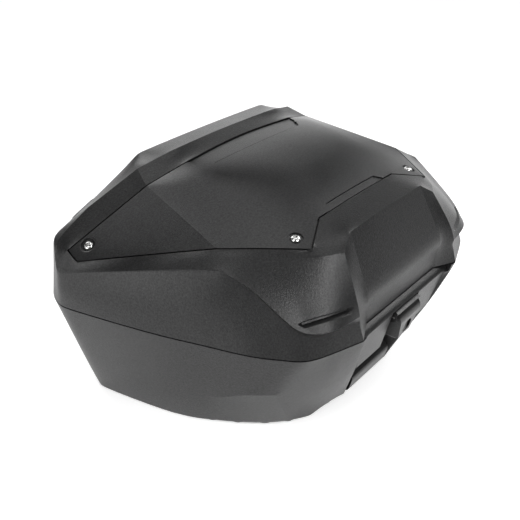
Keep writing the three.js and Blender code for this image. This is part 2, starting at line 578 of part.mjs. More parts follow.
function buttonScrew(headRadius, headHeight, shankRadius, length) {
  const socket = headRadius * 0.42;
  const profile = [[0, headHeight * 0.45], [socket, headHeight * 0.45], [socket, headHeight * 0.97],
    [headRadius * 0.6, headHeight * 0.86], [headRadius * 0.9, headHeight * 0.45], [headRadius, 0],
    [shankRadius, 0], [shankRadius, -length + shankRadius * 0.6], [shankRadius * 0.5, -length], [0, -length]];
  const outline = profile.map(([r, z]) => new THREE.Vector2(r, z));
  return new THREE.LatheGeometry(outline.reverse(), 20).rotateX(Math.PI / 2);
}

const screwSeat = SCREW_WELL_DEPTH - FIT_GAP;
const coverScrews = screws.map(({ name, point, normal }) => [`cover_screw_${name}`,
  placed(buttonScrew(SCREW_HEAD_RADIUS, SCREW_HEAD_HEIGHT, SCREW_SHANK_RADIUS, SCREW_LENGTH)
    .translate(0, 0, -screwSeat), point, normal), bright]);
const screwWells = screws.map(({ point, normal }) =>
  placed(tubeZ(SCREW_WELL_RADIUS, -SCREW_WELL_DEPTH, 6), point, normal));
const screwHoles = screws.map(({ point, normal }) =>
  placed(tubeZ(SCREW_SHANK_RADIUS + FIT_GAP, -SCREW_LENGTH - 6, 2, 16), point, normal));
const bosses = screws.map(({ point, normal }) =>
  placed(tubeZ(BOSS_RADIUS, -PANEL_SEAT + FIT_GAP, -PANEL_THICKNESS / 2), point, normal));
const bossRooms = screws.map(({ point, normal }) =>
  placed(tubeZ(BOSS_RADIUS + 2 * FIT_GAP, -PANEL_SEAT - FIT_GAP, 0), point, normal));

// ---------- hinges ----------
const hingeSides = [['left', -HINGE_X], ['right', HINGE_X]];
const leafWall = HINGE_Y - KNUCKLE_RADIUS;

// A leaf with its knuckles: a vertical plate that curls round the pin.
function hingeLeaf(x, up, spans) {
  const direction = up ? 1 : -1;
  const [near, far] = [7, LEAF_REACH].map((reach) => HINGE_Z + direction * reach);
  const outline = [[leafWall, near], [leafWall + LEAF_THICKNESS, near], [leafWall + LEAF_THICKNESS, far],
    [leafWall, far]];
  const plate = slabX(up ? outline : outline.slice().reverse(), x - LEAF_HALF, x + LEAF_HALF);
  let solid = toSolid(plate);
  for (const [from, to] of spans) {
    const arm = block([x + from, leafWall, HINGE_Z + Math.min(0, direction * 9)],
      [x + to, HINGE_Y, HINGE_Z + Math.max(0, direction * 9)]);
    const knuckle = rodX(KNUCKLE_RADIUS, x + from, x + to, HINGE_Y, HINGE_Z, 20);
    solid = solid.add(toSolid(arm)).add(toSolid(knuckle));
  }
  return solid;
}

// A hole for a pin along X that runs a distance to each side of x.
const pinHole = (radius, x, half, y, z) => rodX(radius + FIT_GAP, x - half, x + half, y, z);
const baseSpans = [[-28, -KNUCKLE_HALF - 0.5], [KNUCKLE_HALF + 0.5, 28]];
const lidSpans = [[-KNUCKLE_HALF, KNUCKLE_HALF]];
const hingeScrewPlaces = [-22, 22];
const leafScrewZ = (up) => HINGE_Z + (up ? LEAF_SCREW_HEIGHT : -LEAF_SCREW_HEIGHT);
const towardsRider = new THREE.Vector3(0, 1, 0);

const hingeScrew = (x, up) => placed(buttonScrew(2 * LEAF_SCREW_RADIUS, 2.2, LEAF_SCREW_RADIUS, 9),
  [x, leafWall + LEAF_THICKNESS + FIT_GAP, leafScrewZ(up)], towardsRider);

const hingeScrewHole = (x, up) => placed(tubeZ(LEAF_SCREW_RADIUS + FIT_GAP, -14, 6, 12),
  [x, leafWall, leafScrewZ(up)], towardsRider);

const hingeNodes = [];
const baseTools = [];
const lidTools = [];
for (const [side, x] of hingeSides) {
  for (const up of [false, true]) {
    const holes = hingeScrewPlaces.map((dx) => hingeScrewHole(x + dx, up));
    const tools = up ? lidTools : baseTools;
    const leaf = hingeLeaf(x, up, up ? lidSpans : baseSpans);
    hingeNodes.push([`hinge_${up ? 'lid' : 'base'}_leaf_${side}`,
      cutAll(leaf, [pinHole(HINGE_PIN_RADIUS, x, LEAF_HALF, HINGE_Y, HINGE_Z), ...holes]), steel]);
    hingeScrewPlaces.forEach((dx, i) => {
      hingeNodes.push([`hinge_${up ? 'lid' : 'base'}_screw_${side}_${i + 1}`, hingeScrew(x + dx, up), bright]);
    });
    const z0 = up ? LID_BOTTOM - 4 : HINGE_Z - LEAF_REACH - FIT_GAP;
    const z1 = up ? HINGE_Z + LEAF_REACH + FIT_GAP : BASE_TOP + 4;
    tools.push(...holes, block([x - LEAF_HALF - FIT_GAP, leafWall - FIT_GAP, z0],
      [x + LEAF_HALF + FIT_GAP, HINGE_Y + 20, z1]));
  }
  hingeNodes.push([`hinge_pin_${side}`, rodX(HINGE_PIN_RADIUS, x - 30, x + 30, HINGE_Y, HINGE_Z, 20), bright]);
}

// ---------- latch at the rear ----------
// The recessed rear wall of the base leans inward: y of its face at a height z.
const panelY = (z) => -148 - (z - 50) * (33 / 96);
const [leverY, leverZ] = LEVER_PIVOT;

// A plate seen from the rear, from half widths at given heights, within a side profile.
function shield(stations, profile) {
  const right = stations.map(([half, z]) => new THREE.Vector2(half, z));
  const left = stations.slice().reverse().map(([half, z]) => new THREE.Vector2(-half, z));
  const shape = new THREE.Shape([...right, ...left]);
  const geometry = new THREE.ExtrudeGeometry(shape, { depth: 90, bevelEnabled: false });
  const upright = geometry.rotateX(Math.PI / 2).translate(0, -120, 0);
  return toSolid(upright).intersect(toSolid(slabX(profile, -60, 60)));
}

// The lever's outline narrows downward, and its housing follows it a little further out.
const shieldStations = (grow, bottom, top) => [[9 + grow, bottom], [12.5 + grow, bottom + 3],
  [14.5 + grow, bottom + 9], [25.5 + grow, top - 11], [26 + grow, top - 3], [24 + grow, top]];

const CHEEK_GAP = 0.8;          // room between the lever and each cheek of its housing
const CHEEK = 2.4;              // thickness of a cheek
const cheekInside = 26 + CHEEK_GAP;
const cheekOutside = cheekInside + CHEEK;
const cheekOutline = [[-198, 132], [-183.5, 128], [-181, 144.6], [-199, 144.6]].reverse();
const cheeks = [slabX(cheekOutline, cheekInside, cheekOutside), slabX(cheekOutline, -cheekOutside, -cheekInside)];
const housingBack = shield(shieldStations(3.2, 88, 144.6), [
  [panelY(144.6) - 3, 144.6], [-200, 144.6], [-200.5, 144.1], [-200.5, 143.9], [-186.5, 143.9], [-172.5, 90],
  [-169, 88], [panelY(88) - 0.8, 88]]);
const housing = cutAll(cheeks.reduce((sum, cheek) => sum.add(toSolid(cheek)), housingBack),
  [pinHole(LEVER_PIN_RADIUS, 0, 60, leverY, leverZ)]);
const leverProfile = [[-189.5, 141.4], [-192, 142.9], [-195.5, 143], [-198.5, 141.6], [-202.2, 137],
  [-203.6, 131], [-196, 99], [-192, 94.5], [-180, 93.5], [-175.2, 96], [-186.5, 138.5]];
const lock = { y: -194.5, z: 112, radius: 7.5, bezel: 9.5 };
const lockAxis = new THREE.Vector3(0, -1, 0.22).normalize();
const inLock = (geometry) => placed(geometry, [0, lock.y, lock.z], lockAxis);
const lever = cutAll(shield(shieldStations(0, 92, 144), leverProfile), [
  pinHole(LEVER_PIN_RADIUS, 0, 60, leverY, leverZ), inLock(tubeZ(lock.bezel + FIT_GAP, -3, 20)),
  inLock(tubeZ(lock.radius + FIT_GAP, -12, 5))]);
const bezelRing = toSolid(inLock(tubeZ(lock.bezel, -2.7, 1.2)))
  .subtract(toSolid(inLock(tubeZ(lock.radius + FIT_GAP, -9, 9))));
const cylinder = toSolid(inLock(tubeZ(lock.radius, -11, 0.8)))
  .subtract(toSolid(inLock(block([-0.9, -3.6, -3], [0.9, 3.6, 3]))));
const leverPin = rodX(LEVER_PIN_RADIUS, -cheekOutside + 0.2, cheekOutside - 0.2, leverY, leverZ);

// ---------- hook inside the case, and its striker on the lid ----------
const [hookY, hookZ] = HOOK_PIVOT;
const hookProfile = [[hookY - 4, hookZ - 6], [hookY + 4, hookZ - 6], [hookY + 5, hookZ],
  [hookY + 1, hookZ + 12], [hookY + 1, 153.5], [hookY - 5.2, 153.5], [hookY - 5.2, 150.5],
  [hookY - 3, 149.5], [hookY - 3, hookZ + 12], [hookY - 5, hookZ]];
const hook = cutAll(toSolid(slabX(hookProfile, -14, 14)), [pinHole(SMALL_PIN_RADIUS, 0, 30, hookY, hookZ)]);
const hookPin = rodX(SMALL_PIN_RADIUS, -23, 23, hookY, hookZ);
const hookBracket = [-1, 1].map((side) => block([side * 18.5 - 2.5, hookY - 4.4, hookZ - 11],
  [side * 18.5 + 2.5, hookY + 6, hookZ + 7]));
const bracketPlate = block([-30, hookY - 5.8, hookZ - 15], [30, hookY - 4.2, hookZ - 8]);
const hookFrame = cutAll(hookBracket.map(toSolid).reduce((sum, part) => sum.add(part), toSolid(bracketPlate)),
  [pinHole(SMALL_PIN_RADIUS, 0, 30, hookY, hookZ)]);
const striker = slabX([[-180.5, 186], [-183, 186], [-180.6, 160], [-171.5, 156], [-171.5, 146], [-161, 146],
  [-161, 148.6], [-169, 148.6], [-169, 158], [-178, 162]].reverse(), -13, 13);

// ---------- release handle for the carrier ----------
const [handleY, handleZ] = HANDLE_PIVOT;
const handleProfile = [[-137, 39], [-147, 35], [-151.5, 29], [-151.5, 25], [-146.5, 7], [-142, 3.4], [-137.5, 5],
  [-137, 11], [-141, 25], [-139, 29], [-129.8, 27.5], [-127.8, 31], [-129, 36]];
const handle = cutAll(toSolid(slabX(handleProfile, -HANDLE_HALF, HANDLE_HALF)),
  [pinHole(SMALL_PIN_RADIUS, 0, 60, handleY, handleZ)]);
const handlePin = rodX(SMALL_PIN_RADIUS, -52, 52, handleY, handleZ);
const bolt = block([-14, -133, 1.4], [14, -98, 5]);

// ---------- seal and liner ----------
const SEAL_Z0 = 152.6;          // bottom of the groove that the seal lies in
const SEAL_WIDTH = 3;
const sealLoop = [[0, -179.5], [60, -179.5], [102, -181.5], [151, -183.5], [186, -171], [202.5, -149.5],
  [220.5, -117], [238.5, -61], [258.5, 2], [283.5, 103], [285.5, 139], [264, 172.5], [198, 186.5], [108, 189.5],
  [0, 189.5]];

function bandAlong(half, width, z0, z1) {
  const mirrored = half.slice(1, -1).reverse().map(([x, y]) => [-x, y]);
  const loop = [...half, ...mirrored].map((p) => new THREE.Vector2(...p));
  const offset = (distance) => loop.map((p, i) => {
    const before = p.clone().sub(loop[(i + loop.length - 1) % loop.length]).normalize();
    const after = loop[(i + 1) % loop.length].clone().sub(p).normalize();
    const n0 = new THREE.Vector2(before.y, -before.x);
    const n1 = new THREE.Vector2(after.y, -after.x);
    const mitre = n0.clone().add(n1).normalize();
    return p.clone().add(mitre.multiplyScalar(distance / Math.max(0.5, mitre.dot(n0))));
  });
  const shape = new THREE.Shape(offset(width / 2));
  shape.holes.push(new THREE.Path(offset(-width / 2)));
  return new THREE.ExtrudeGeometry(shape, { depth: z1 - z0, bevelEnabled: false }).translate(0, 0, z0);
}

const seal = bandAlong(sealLoop, SEAL_WIDTH, SEAL_Z0 + FIT_GAP, LID_BOTTOM - FIT_GAP);
const sealGroove = bandAlong(sealLoop, SEAL_WIDTH + 3 * FIT_GAP, SEAL_Z0, BASE_TOP + 5);
const matHalf = [[0, -110], [58, -110], [78, -117], [108, -113], [132, -104], [153, -86], [174, -58], [191, -32],
  [212, 13], [230, 100], [230, 128], [214, 143], [176, 153], [96, 159], [0, 159]];
const MAT_THICKNESS = 3;
const mat = loft([{ z: FLOOR + FIT_GAP + MAT_THICKNESS, half: matHalf }, { z: FLOOR + FIT_GAP, half: matHalf }]);

// ---------- carrier seat under the base ----------
const carrierSeat = block([-95, -104, -5], [95, 140, SEAT_HEIGHT]);
const boltSlot = block([-14.6, -140, 0.9], [14.6, -100, SEAT_HEIGHT]);

// ---------- assembly ----------
const coverSkin = surfaceGeometry(skin(lidOuter, 'cover', PANEL_GAP, PANEL_THICKNESS));
const coverPanel = cutAll(bosses.map(toSolid).reduce((sum, boss) => sum.add(boss), toSolid(coverSkin)),
  [...screwWells, ...screwHoles]);
const frontSkin = surfaceGeometry(skin(lidOuter, 'front', FRONT_GAP, FRONT_THICKNESS));
const lidSeated = surfaceGeometry(sunk(sunk(lidOuter, 'cover', PANEL_SEAT), 'front', FRONT_SEAT));
const lidHollow = domeHollow(lidSeated, new THREE.Vector3(0, 10, LID_BOTTOM + 0.5), LID_WALL, 10, 56);
const lidShell = cutAll(toSolid(lidSeated), [lidHollow, ...screwHoles, ...bossRooms, ...lidTools]);
const baseShell = cutAll(toSolid(surfaceGeometry(baseOuter)), [baseHollow, sealGroove, carrierSeat, boltSlot,
  ...baseTools]);

const pieces = [
  ['base_shell', baseShell, shellBlack],
  ['base_mat', mat, rubberBlack],
  ['rim_seal', seal, rubberBlack],
  ['lid_shell', lidShell, shellBlack],
  ['lid_cover_panel', coverPanel, panelBlack],
  ['lid_front_cover', frontSkin, shellBlack],
  ...coverScrews,
  ...hingeNodes,
  ['latch_housing', housing, partBlack],
  ['latch_lever', lever, partBlack],
  ['latch_lever_pin', leverPin, steel],
  ['lock_bezel', bezelRing, steel],
  ['lock_cylinder', cylinder, bright],
  ['latch_hook', hook, steel],
  ['latch_hook_pin', hookPin, steel],
  ['latch_hook_frame', hookFrame, partBlack],
  ['lid_striker', striker, steel],
  ['release_handle', handle, partBlack],
  ['release_handle_pin', handlePin, steel],
  ['carrier_bolt', bolt, steel],
];

const group = new THREE.Group();
group.position.y = BOX_CENTRE_SHIFT;
for (const [name, shape, material] of pieces) {
  const geometry = shape instanceof THREE.BufferGeometry ? shape : fromSolid(shape);
  const mesh = new THREE.Mesh(geometry, material);
  mesh.name = name;
  group.add(mesh);
}

export default group;
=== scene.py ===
import math

import bmesh
import bpy
import numpy as np
from mathutils import Matrix, Vector
from mathutils.bvhtree import BVHTree


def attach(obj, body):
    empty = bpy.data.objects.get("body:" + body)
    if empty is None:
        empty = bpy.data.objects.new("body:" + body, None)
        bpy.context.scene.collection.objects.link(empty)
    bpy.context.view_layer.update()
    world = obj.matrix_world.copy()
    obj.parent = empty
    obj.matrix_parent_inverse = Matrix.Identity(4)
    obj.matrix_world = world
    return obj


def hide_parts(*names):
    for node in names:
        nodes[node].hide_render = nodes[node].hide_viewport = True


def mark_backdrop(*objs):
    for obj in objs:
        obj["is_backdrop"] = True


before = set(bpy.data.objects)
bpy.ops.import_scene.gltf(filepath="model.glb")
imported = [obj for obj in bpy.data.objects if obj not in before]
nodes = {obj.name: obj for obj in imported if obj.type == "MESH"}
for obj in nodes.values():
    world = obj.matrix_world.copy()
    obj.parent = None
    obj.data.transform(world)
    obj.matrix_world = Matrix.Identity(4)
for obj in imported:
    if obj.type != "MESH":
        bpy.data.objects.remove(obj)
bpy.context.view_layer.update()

# ---------- driving dimensions, millimetres ----------
BOX_CENTRE_SHIFT = -2.0
PARTING_Z = 156.0
PARTING_GAP = 1.6
BASE_TOP = PARTING_Z - PARTING_GAP / 2
LID_BOTTOM = PARTING_Z + PARTING_GAP / 2
WALL = 4.0
FLOOR = 9.0
# Rounding of the edges where two mouldings meet.
EDGE = 0.9
PANEL_THICKNESS = 3.2
PANEL_SEAT = 7.0
PANEL_GAP = 2.0
BORDER_DEPTH = 1.8
FRONT_THICKNESS = 3.0
FRONT_SEAT = 5.0
FRONT_GAP = 1.4
FRONT_SUNK = 0.9
SCREW_HEAD_RADIUS = 6.0
SCREW_WELL_RADIUS = 9.0
SCREW_WELL_DEPTH = 3.4
BOSS_RADIUS = 11.5
HINGE_X = 125.0
HINGE_Y = 203.0
HINGE_PIN_RADIUS = 2.5
HINGE_BORE_RADIUS = 2.8
KNUCKLE_RADIUS = 5.0
LEAF_HALF = 32.0
LEAF_REACH = 30.0
LEAF_THICKNESS = 3.0
LEAF_SCREW_OFFSET = 22.0
LEAF_SCREW_REACH = 21.0
LEVER_PIVOT = (-194.0, 137.0)
LEVER_BORE = 1.9
# Round a grip groove: how far the lid's lining is set back, and by how much.
GROOVE_REACH = 12.0
GROOVE_BACKING = 5.0
# The least Y of the lid's inner rim and of its lining.
RIM_REAR = -179.0
LINING_REAR = -181.0

# Smoothing steps of a shell, and the sharpness of a crease that every step keeps.
LEVELS = 4
SHARP = 99


# ---------- control cages ----------
class Surface:
    """Vertices, tagged faces, each crisp edge's (sharpness, radius) and the vertices that stay put."""

    def __init__(self, vertices, faces, creases, corners=()):
        self.vertices = np.asarray(vertices, float)
        self.faces = faces
        self.creases = creases
        self.corners = corners


def edge_key(a, b):
    return (a, b) if a < b else (b, a)


def build_cage(points, faces, creases, caps, corners=()):
    """Half a shell (x >= 0) mirrored in X. A crisp edge turns sharply at a corner."""
    vertices = []
    index = {}
    for name, (x, y, z) in points.items():
        index[name, 1] = len(vertices)
        vertices.append((x, y, z))
        index[name, -1] = index[name, 1]
        if x:
            index[name, -1] = len(vertices)
            vertices.append((-x, y, z))
    all_faces = []
    for tag, *names in faces:
        all_faces.append((tag, [index[n, 1] for n in names]))
        all_faces.append((tag, [index[n, -1] for n in reversed(names)]))
    for names, up in caps:
        loop = [index[n, 1] for n in names] + [index[n, -1] for n in names[-2:0:-1]]
        all_faces.append(("cap", loop if up else loop[::-1]))
    crisp = {}
    for sharpness, radius, *names in creases:
        for a, b in zip(names, names[1:]):
            for side in (1, -1):
                crisp[edge_key(index[a, side], index[b, side])] = (sharpness, radius)
    return Surface(vertices, all_faces, crisp, {index[name, side] for name in corners for side in (1, -1)})


def owners_of(faces):
    """The faces at each edge."""
    owners = {}
    for f, (_, loop) in enumerate(faces):
        for a, b in zip(loop, loop[1:] + loop[:1]):
            owners.setdefault(edge_key(a, b), []).append(f)
    return owners


def crease_at(surface, edge, owners):
    """An edge's sharpness and radius. An open edge is always sharp."""
    sharpness, radius = surface.creases.get(edge, (0, 0))
    return SHARP if len(owners[edge]) < 2 else sharpness, radius


def split_edges(surface, owners, centres):
    """The new point of each edge, and the creases of its two halves."""
    points = surface.vertices
    new_points = np.zeros((len(owners), 3))
    halves = {}
    for n, (edge, faces) in enumerate(owners.items()):
        sharpness, radius = crease_at(surface, edge, owners)
        ends = points[edge[0]] + points[edge[1]]
        middle = ends / 2
        smooth = middle if len(faces) < 2 else (ends + centres[faces[0]] + centres[faces[1]]) / 4
        weight = min(1.0, sharpness)
        new_points[n] = middle * weight + smooth * (1 - weight)
        if sharpness > 1 or radius:
            left = sharpness if sharpness == SHARP else max(0, sharpness - 1)
            for i in edge:
                halves[edge_key(i, len(points) + n)] = (left, radius)
    return new_points, halves


def moved_points(surface, owners, centres):
    """Where a smoothing step takes the points that are already there."""
    points = surface.vertices
    crisp_ends = [[] for _ in points]
    edge_sum = np.zeros(points.shape)
    face_sum = np.zeros(points.shape)
    edge_count = np.zeros((len(points), 1))
    face_count = np.zeros((len(points), 1))
    for a, b in owners:
        sharpness, _ = crease_at(surface, (a, b), owners)
        for i, other in ((a, b), (b, a)):
            edge_sum[i] += (points[a] + points[b]) / 2
            edge_count[i] += 1
            if sharpness > 0:
                crisp_ends[i].append((other, min(1.0, sharpness)))
    for f, (_, loop) in enumerate(surface.faces):
        for i in loop:
            face_sum[i] += centres[f]
            face_count[i] += 1
    n = edge_count
    moved = (face_sum / face_count + 2 * edge_sum / n + (n - 3) * points) / n
    for i, ends in enumerate(crisp_ends):
        if len(ends) < 2:
            continue
        weight = sum(w for _, w in ends) / len(ends)
        target = points[i]
        if len(ends) == 2 and i not in surface.corners:
            target = 0.75 * points[i] + 0.125 * (points[ends[0][0]] + points[ends[1][0]])
        moved[i] = target * weight + moved[i] * (1 - weight)
    return moved


def subdivide(surface):
    """One Catmull-Clark step with semi-sharp creases."""
    count = len(surface.vertices)
    centres = np.array([surface.vertices[loop].mean(0) for _, loop in surface.faces])
    owners = owners_of(surface.faces)
    edge_points, creases = split_edges(surface, owners, centres)
    edge_index = {edge: count + n for n, edge in enumerate(owners)}
    first_centre = count + len(owners)
    faces = []
    for f, (tag, loop) in enumerate(surface.faces):
        for k, i in enumerate(loop):
            after = edge_index[edge_key(i, loop[(k + 1) % len(loop)])]
            before = edge_index[edge_key(i, loop[k - 1])]
            faces.append((tag, [i, after, first_centre + f, before]))
    vertices = np.vstack([moved_points(surface, owners, centres), edge_points, centres])
    return Surface(vertices, faces, creases, surface.corners)


def levels(surface, count):
    for _ in range(count):
        surface = subdivide(surface)
    return surface


def fitted(cage, rounds=5):
    """Swells the cage until the smoothed surface passes through its named points."""
    moved = cage.vertices.copy()
    for _ in range(rounds):
        smooth = levels(Surface(moved, cage.faces, cage.creases, cage.corners), 2)
        moved += 0.8 * (cage.vertices - smooth.vertices[: len(moved)])
    return Surface(moved, cage.faces, cage.creases, cage.corners)


def normals_of(vertices, faces):
    """Unit normals at the points of the given faces, by index."""
    total = {}
    for _, loop in faces:
        p = vertices[loop]
        normal = np.cross(p[2] - p[0], p[3] - p[1]) if len(loop) == 4 else np.cross(p[1] - p[0], p[2] - p[0])
        for i in loop:
            total[i] = total.get(i, 0) + normal
    return {i: n / np.linalg.norm(n) for i, n in total.items()}


def rim_of(faces):
    """The open edges of a set of faces, each in the direction that its face runs."""
    directed = {(a, b) for _, loop in faces for a, b in zip(loop, loop[1:] + loop[:1])}
    return sorted((a, b) for a, b in directed if (b, a) not in directed)


def row(word, *points):
    """Points named by a word and a letter each."""
    return {word + letter: point for letter, point in zip("ABCDEFGHIJKLM", points)}


def named_faces(*groups):
    """Faces from groups of a tag and its faces' point names, with one face to a line."""
    return [(tag, *line.split()) for tag, lines in groups for line in lines.strip().splitlines()]


# ---------- lid cage ----------
# The outline that both shells share at the parting line, from the rear corner to the front's middle.
RIM = {
    "rimTip": (118, -204),
    **row("rim", (156, -191), (190, -176), (207, -152), (225, -118), (243, -62), (263, 0), (288, 102),
          (291, 140), (268, 176), (215, 189), (165, 193), (110, 194), (0, 194)),
}


def rim_at(z):
    return {name: (x, y, z) for name, (x, y) in RIM.items()}


LID_POINTS = {
    "rimMid": (0, -187, LID_BOTTOM), "rimNotch": (85, -187, LID_BOTTOM), **rim_at(LID_BOTTOM),
    "plateFootMid": (0, -191, 197), "plateFoot": (92, -191, 197), "plateTopMid": (0, -155, 272),
    "plateTop": (83, -155, 270), "plateShoulder": (106.5, -163, 255), "plateSide": (116.5, -188, 212),
    "podTip": (119, -197, 188), "podTipUnder": (119, -196, 181),
    "podA": (164, -190, 189), "podB": (187, -173, 191), "podC": (199.5, -153, 203.5),
    "podD": (206.5, -112, 230.5), "underA": (157, -182, 180), "underB": (182, -168, 183),
    "underC": (196, -148, 198.5), "underD": (204, -108.5, 226.5),
    "podTop": (132, -146, 255), "podTopSide": (168, -107, 254), "podTopEnd": (204, -61, 256.5),
    "podMidA": (148, -170, 222), "podMidB": (177, -145, 223), "crestStart": (218, -75, 248),
    "coverMid": (0, -112, 276), "coverInner": (84, -112, 274), "coverCorner": (133, -137, 261),
    "coverSideA": (166, -95, 261.5), "coverSideB": (200, -52, 261), "coverSideC": (227, 0, 249),
    "wingLow": (281, 103, 224), "wingTip": (277, 125, 231), "ridgeFront": (169, 94, 288),
    "wingTop": (223, 110, 259), "ridgeMid": (184, 22, 275), "coverFrontSide": (106, 80, 305),
    "coverFrontMid": (0, 86, 307), "crownRearMid": (0, -45, 295), "crownRear": (98, -45, 291),
    "crownFrontMid": (0, 25, 305), "crownFront": (103, 25, 302.5), "seamMid": (0, 112, 312),
    "seamSide": (106, 110, 311), "seamCorner": (158, 120, 300), "browA": (225, 142, 264),
    "browB": (270, 148, 236), "browEnd": (284, 141, 222), "crestA": (248, 0, 236), "crestB": (285, 100, 211),
    "crestEnd": (290, 132, 205), "wallA": (234, -66, 205), "wallB": (259, 0, 200), "wallC": (289, 101, 185),
    "frontTopMid": (0, 150, 308), "frontTop": (114, 149, 307), "frontShoulder": (133, 157, 296),
    "frontSide": (172, 202, 238), "frontFoot": (112, 205, 238), "frontFootMid": (0, 205, 238),
    "cornerA": (222, 184, 234), "cornerB": (262, 169, 226),
}

LID_FACES = named_faces(
    ("shell", """
        plateTopMid plateFootMid plateFoot plateTop
        plateFootMid rimMid rimNotch plateFoot
        plateTop plateFoot plateSide plateShoulder
        plateFoot rimNotch rimTip podTipUnder podTip plateSide
        coverMid plateTopMid plateTop coverInner
        coverInner plateTop plateShoulder podTop coverCorner
        plateShoulder plateSide podMidA podTop
        plateSide podTip podA podMidA
        podTop podMidA podMidB podTopSide
        podMidA podA podB podMidB
        podMidB podB podC
        podTopSide podMidB podC podD
        podTopSide podD crestStart podTopEnd
        podTip podTipUnder underA podA
        podA underA underB podB
        podB underB underC podC
        podC underC underD podD
        podD underD crestStart
        podTipUnder rimTip rimA underA
        underA rimA rimB underB
        underB rimB rimC underC
        underC rimC rimD underD
        underD rimD rimE wallA crestStart
        wallA rimE rimF wallB
        wallB rimF rimG wallC
        crestStart wallA wallB crestA
        crestA wallB wallC crestB
        crestB wallC rimG rimH crestEnd
        coverCorner podTop podTopSide coverSideA
        coverSideA podTopSide podTopEnd coverSideB
        coverSideB podTopEnd crestStart crestA coverSideC
        coverSideC crestA crestB wingLow
        wingLow crestB crestEnd wingTip
    """),
    ("cover", """
        coverMid coverInner crownRear crownRearMid
        coverInner coverCorner coverSideA crownRear
        crownRear coverSideA coverSideB ridgeMid
        crownRearMid crownRear crownFront crownFrontMid
        crownRear ridgeMid ridgeFront crownFront
        crownFrontMid crownFront coverFrontSide coverFrontMid
        crownFront ridgeFront coverFrontSide
        ridgeMid coverSideB coverSideC wingTop ridgeFront
        wingTop coverSideC wingLow wingTip
    """),
    ("shell", """
        coverFrontMid coverFrontSide seamSide seamMid
        coverFrontSide ridgeFront seamCorner seamSide
        ridgeFront wingTop browA seamCorner
        wingTop wingTip browB browA
        wingTip crestEnd browEnd browB
    """),
    ("front", """
        seamMid seamSide frontTop frontTopMid
        seamSide seamCorner frontShoulder frontTop
        frontTopMid frontTop frontFoot frontFootMid
        frontTop frontShoulder frontSide frontFoot
        seamCorner browA cornerA frontSide frontShoulder
    """),
    ("shell", """
        browA browB cornerB cornerA
        browB browEnd cornerB
        cornerB browEnd crestEnd rimH rimI
        cornerA cornerB rimI rimJ
        frontSide cornerA rimJ rimK
        frontFoot frontSide rimK rimL
        frontFootMid frontFoot rimL rimM
    """),
)
LID_RIM = ["rimMid", "rimNotch", *RIM]

# Each crease: how many smoothing steps it stays crisp for, its edge radius, and its points.
LID_CREASES = [
    (SHARP, EDGE, *LID_RIM),
    (SHARP, 0.8, "coverMid", "coverInner", "coverCorner", "coverSideA", "coverSideB", "coverSideC", "wingLow",
     "wingTip", "wingTop", "ridgeFront", "coverFrontSide", "coverFrontMid"),
    (SHARP, 0.8, "seamMid", "seamSide", "seamCorner", "browA", "cornerA", "frontSide", "frontFoot",
     "frontFootMid"),
    (SHARP, 1.6, "ridgeFront", "ridgeMid", "coverSideB"),
    (SHARP, 1.2, "ridgeFront", "seamCorner"),
    (SHARP, 1.4, "plateTopMid", "plateTop", "plateFoot", "rimNotch"),
    (SHARP, 1.2, "plateTop", "plateShoulder", "plateSide", "podTip", "podTipUnder", "rimTip"),
    (2, 0, "plateFootMid", "plateFoot"),
    (SHARP, 1.6, "podTip", "podA", "podB", "podC", "podD", "crestStart"),
    (SHARP, 1.4, "podTipUnder", "underA", "underB", "underC", "underD", "crestStart"),
    (SHARP, 1.2, "plateShoulder", "podTop"),
    (2.5, 0, "podTop", "podTopSide", "podTopEnd"),
    (3, 0, "crestStart", "crestA", "crestB", "crestEnd"),
    (SHARP, 1.2, "browA", "browB", "browEnd", "crestEnd"),
    (3, 0, "frontTopMid", "frontTop", "frontShoulder", "frontSide"),
]
LID_CORNERS = ["coverInner", "coverCorner", "wingLow", "wingTip", "ridgeFront", "coverFrontSide", "seamSide",
               "seamCorner", "browA", "plateTop", "podTip", "podTipUnder", "rimTip", "rimNotch"]

# ---------- base cage ----------
BASE_POINTS = {
    "rimMid": (0, -196, BASE_TOP), "rimSide": (60, -198.5, BASE_TOP), **rim_at(BASE_TOP),
    "lipMid": (0, -196, 148), "lipSide": (60, -198, 148), "lipTip": (113, -202, 147),
    "panelTopMid": (0, -181, 146), "panelTopA": (60, -181, 146), "panelTopB": (104, -181, 146),
    "panelLowMid": (0, -148, 50), "panelLowA": (40, -148, 50), "panelLowB": (61, -146, 50),
    "pocketTopMid": (0, -128, 47), "pocketTopA": (38, -128, 47), "pocketTopB": (57, -128, 47),
    "pocketLowMid": (0, -124, 0), "pocketLowA": (30, -124, 0), "pocketLowB": (46, -124, 0),
    "edgeA": (93, -182, 91), "edgeB": (69, -161, 45), "edgeC": (51, -143, 0),
    "facetA": (128, -170, 84), "facetFoot": (80, -137, 0), "facetFootSide": (116, -132, 0),
    **row("bevel", (194, -134.5, 87.5), (206.5, -114, 84.5), (215, -86.5, 75), (223.5, -49.5, 61),
          (240.5, 10, 48), (259, 104, 45), (260, 139, 45), (240, 164, 45), (194, 177, 45), (150, 181, 45),
          (104, 182, 45), (0, 182, 45)),
    **row("foot", (143, -118, 0), (166, -96, 0), (188, -66, 0), (205, -37, 0), (227, 13, 0), (246, 104, 0),
          (247, 136, 0), (226, 157, 0), (184, 168, 0), (142, 173, 0), (98, 174, 0), (0, 174, 0)),
}
BASE_RIM = ["rimMid", "rimSide", *RIM]
BEVEL_ROW = [name for name in BASE_POINTS if name.startswith("bevel")]
FOOT_ROW = [name for name in BASE_POINTS if name.startswith("foot")]
BASE_FOOT = ["pocketLowMid", "pocketLowA", "pocketLowB", "edgeC", "facetFoot", "facetFootSide", *FOOT_ROW]


def strip(tag, upper, lower):
    return [(tag, upper[i], lower[i], lower[i + 1], upper[i + 1]) for i in range(len(upper) - 1)]


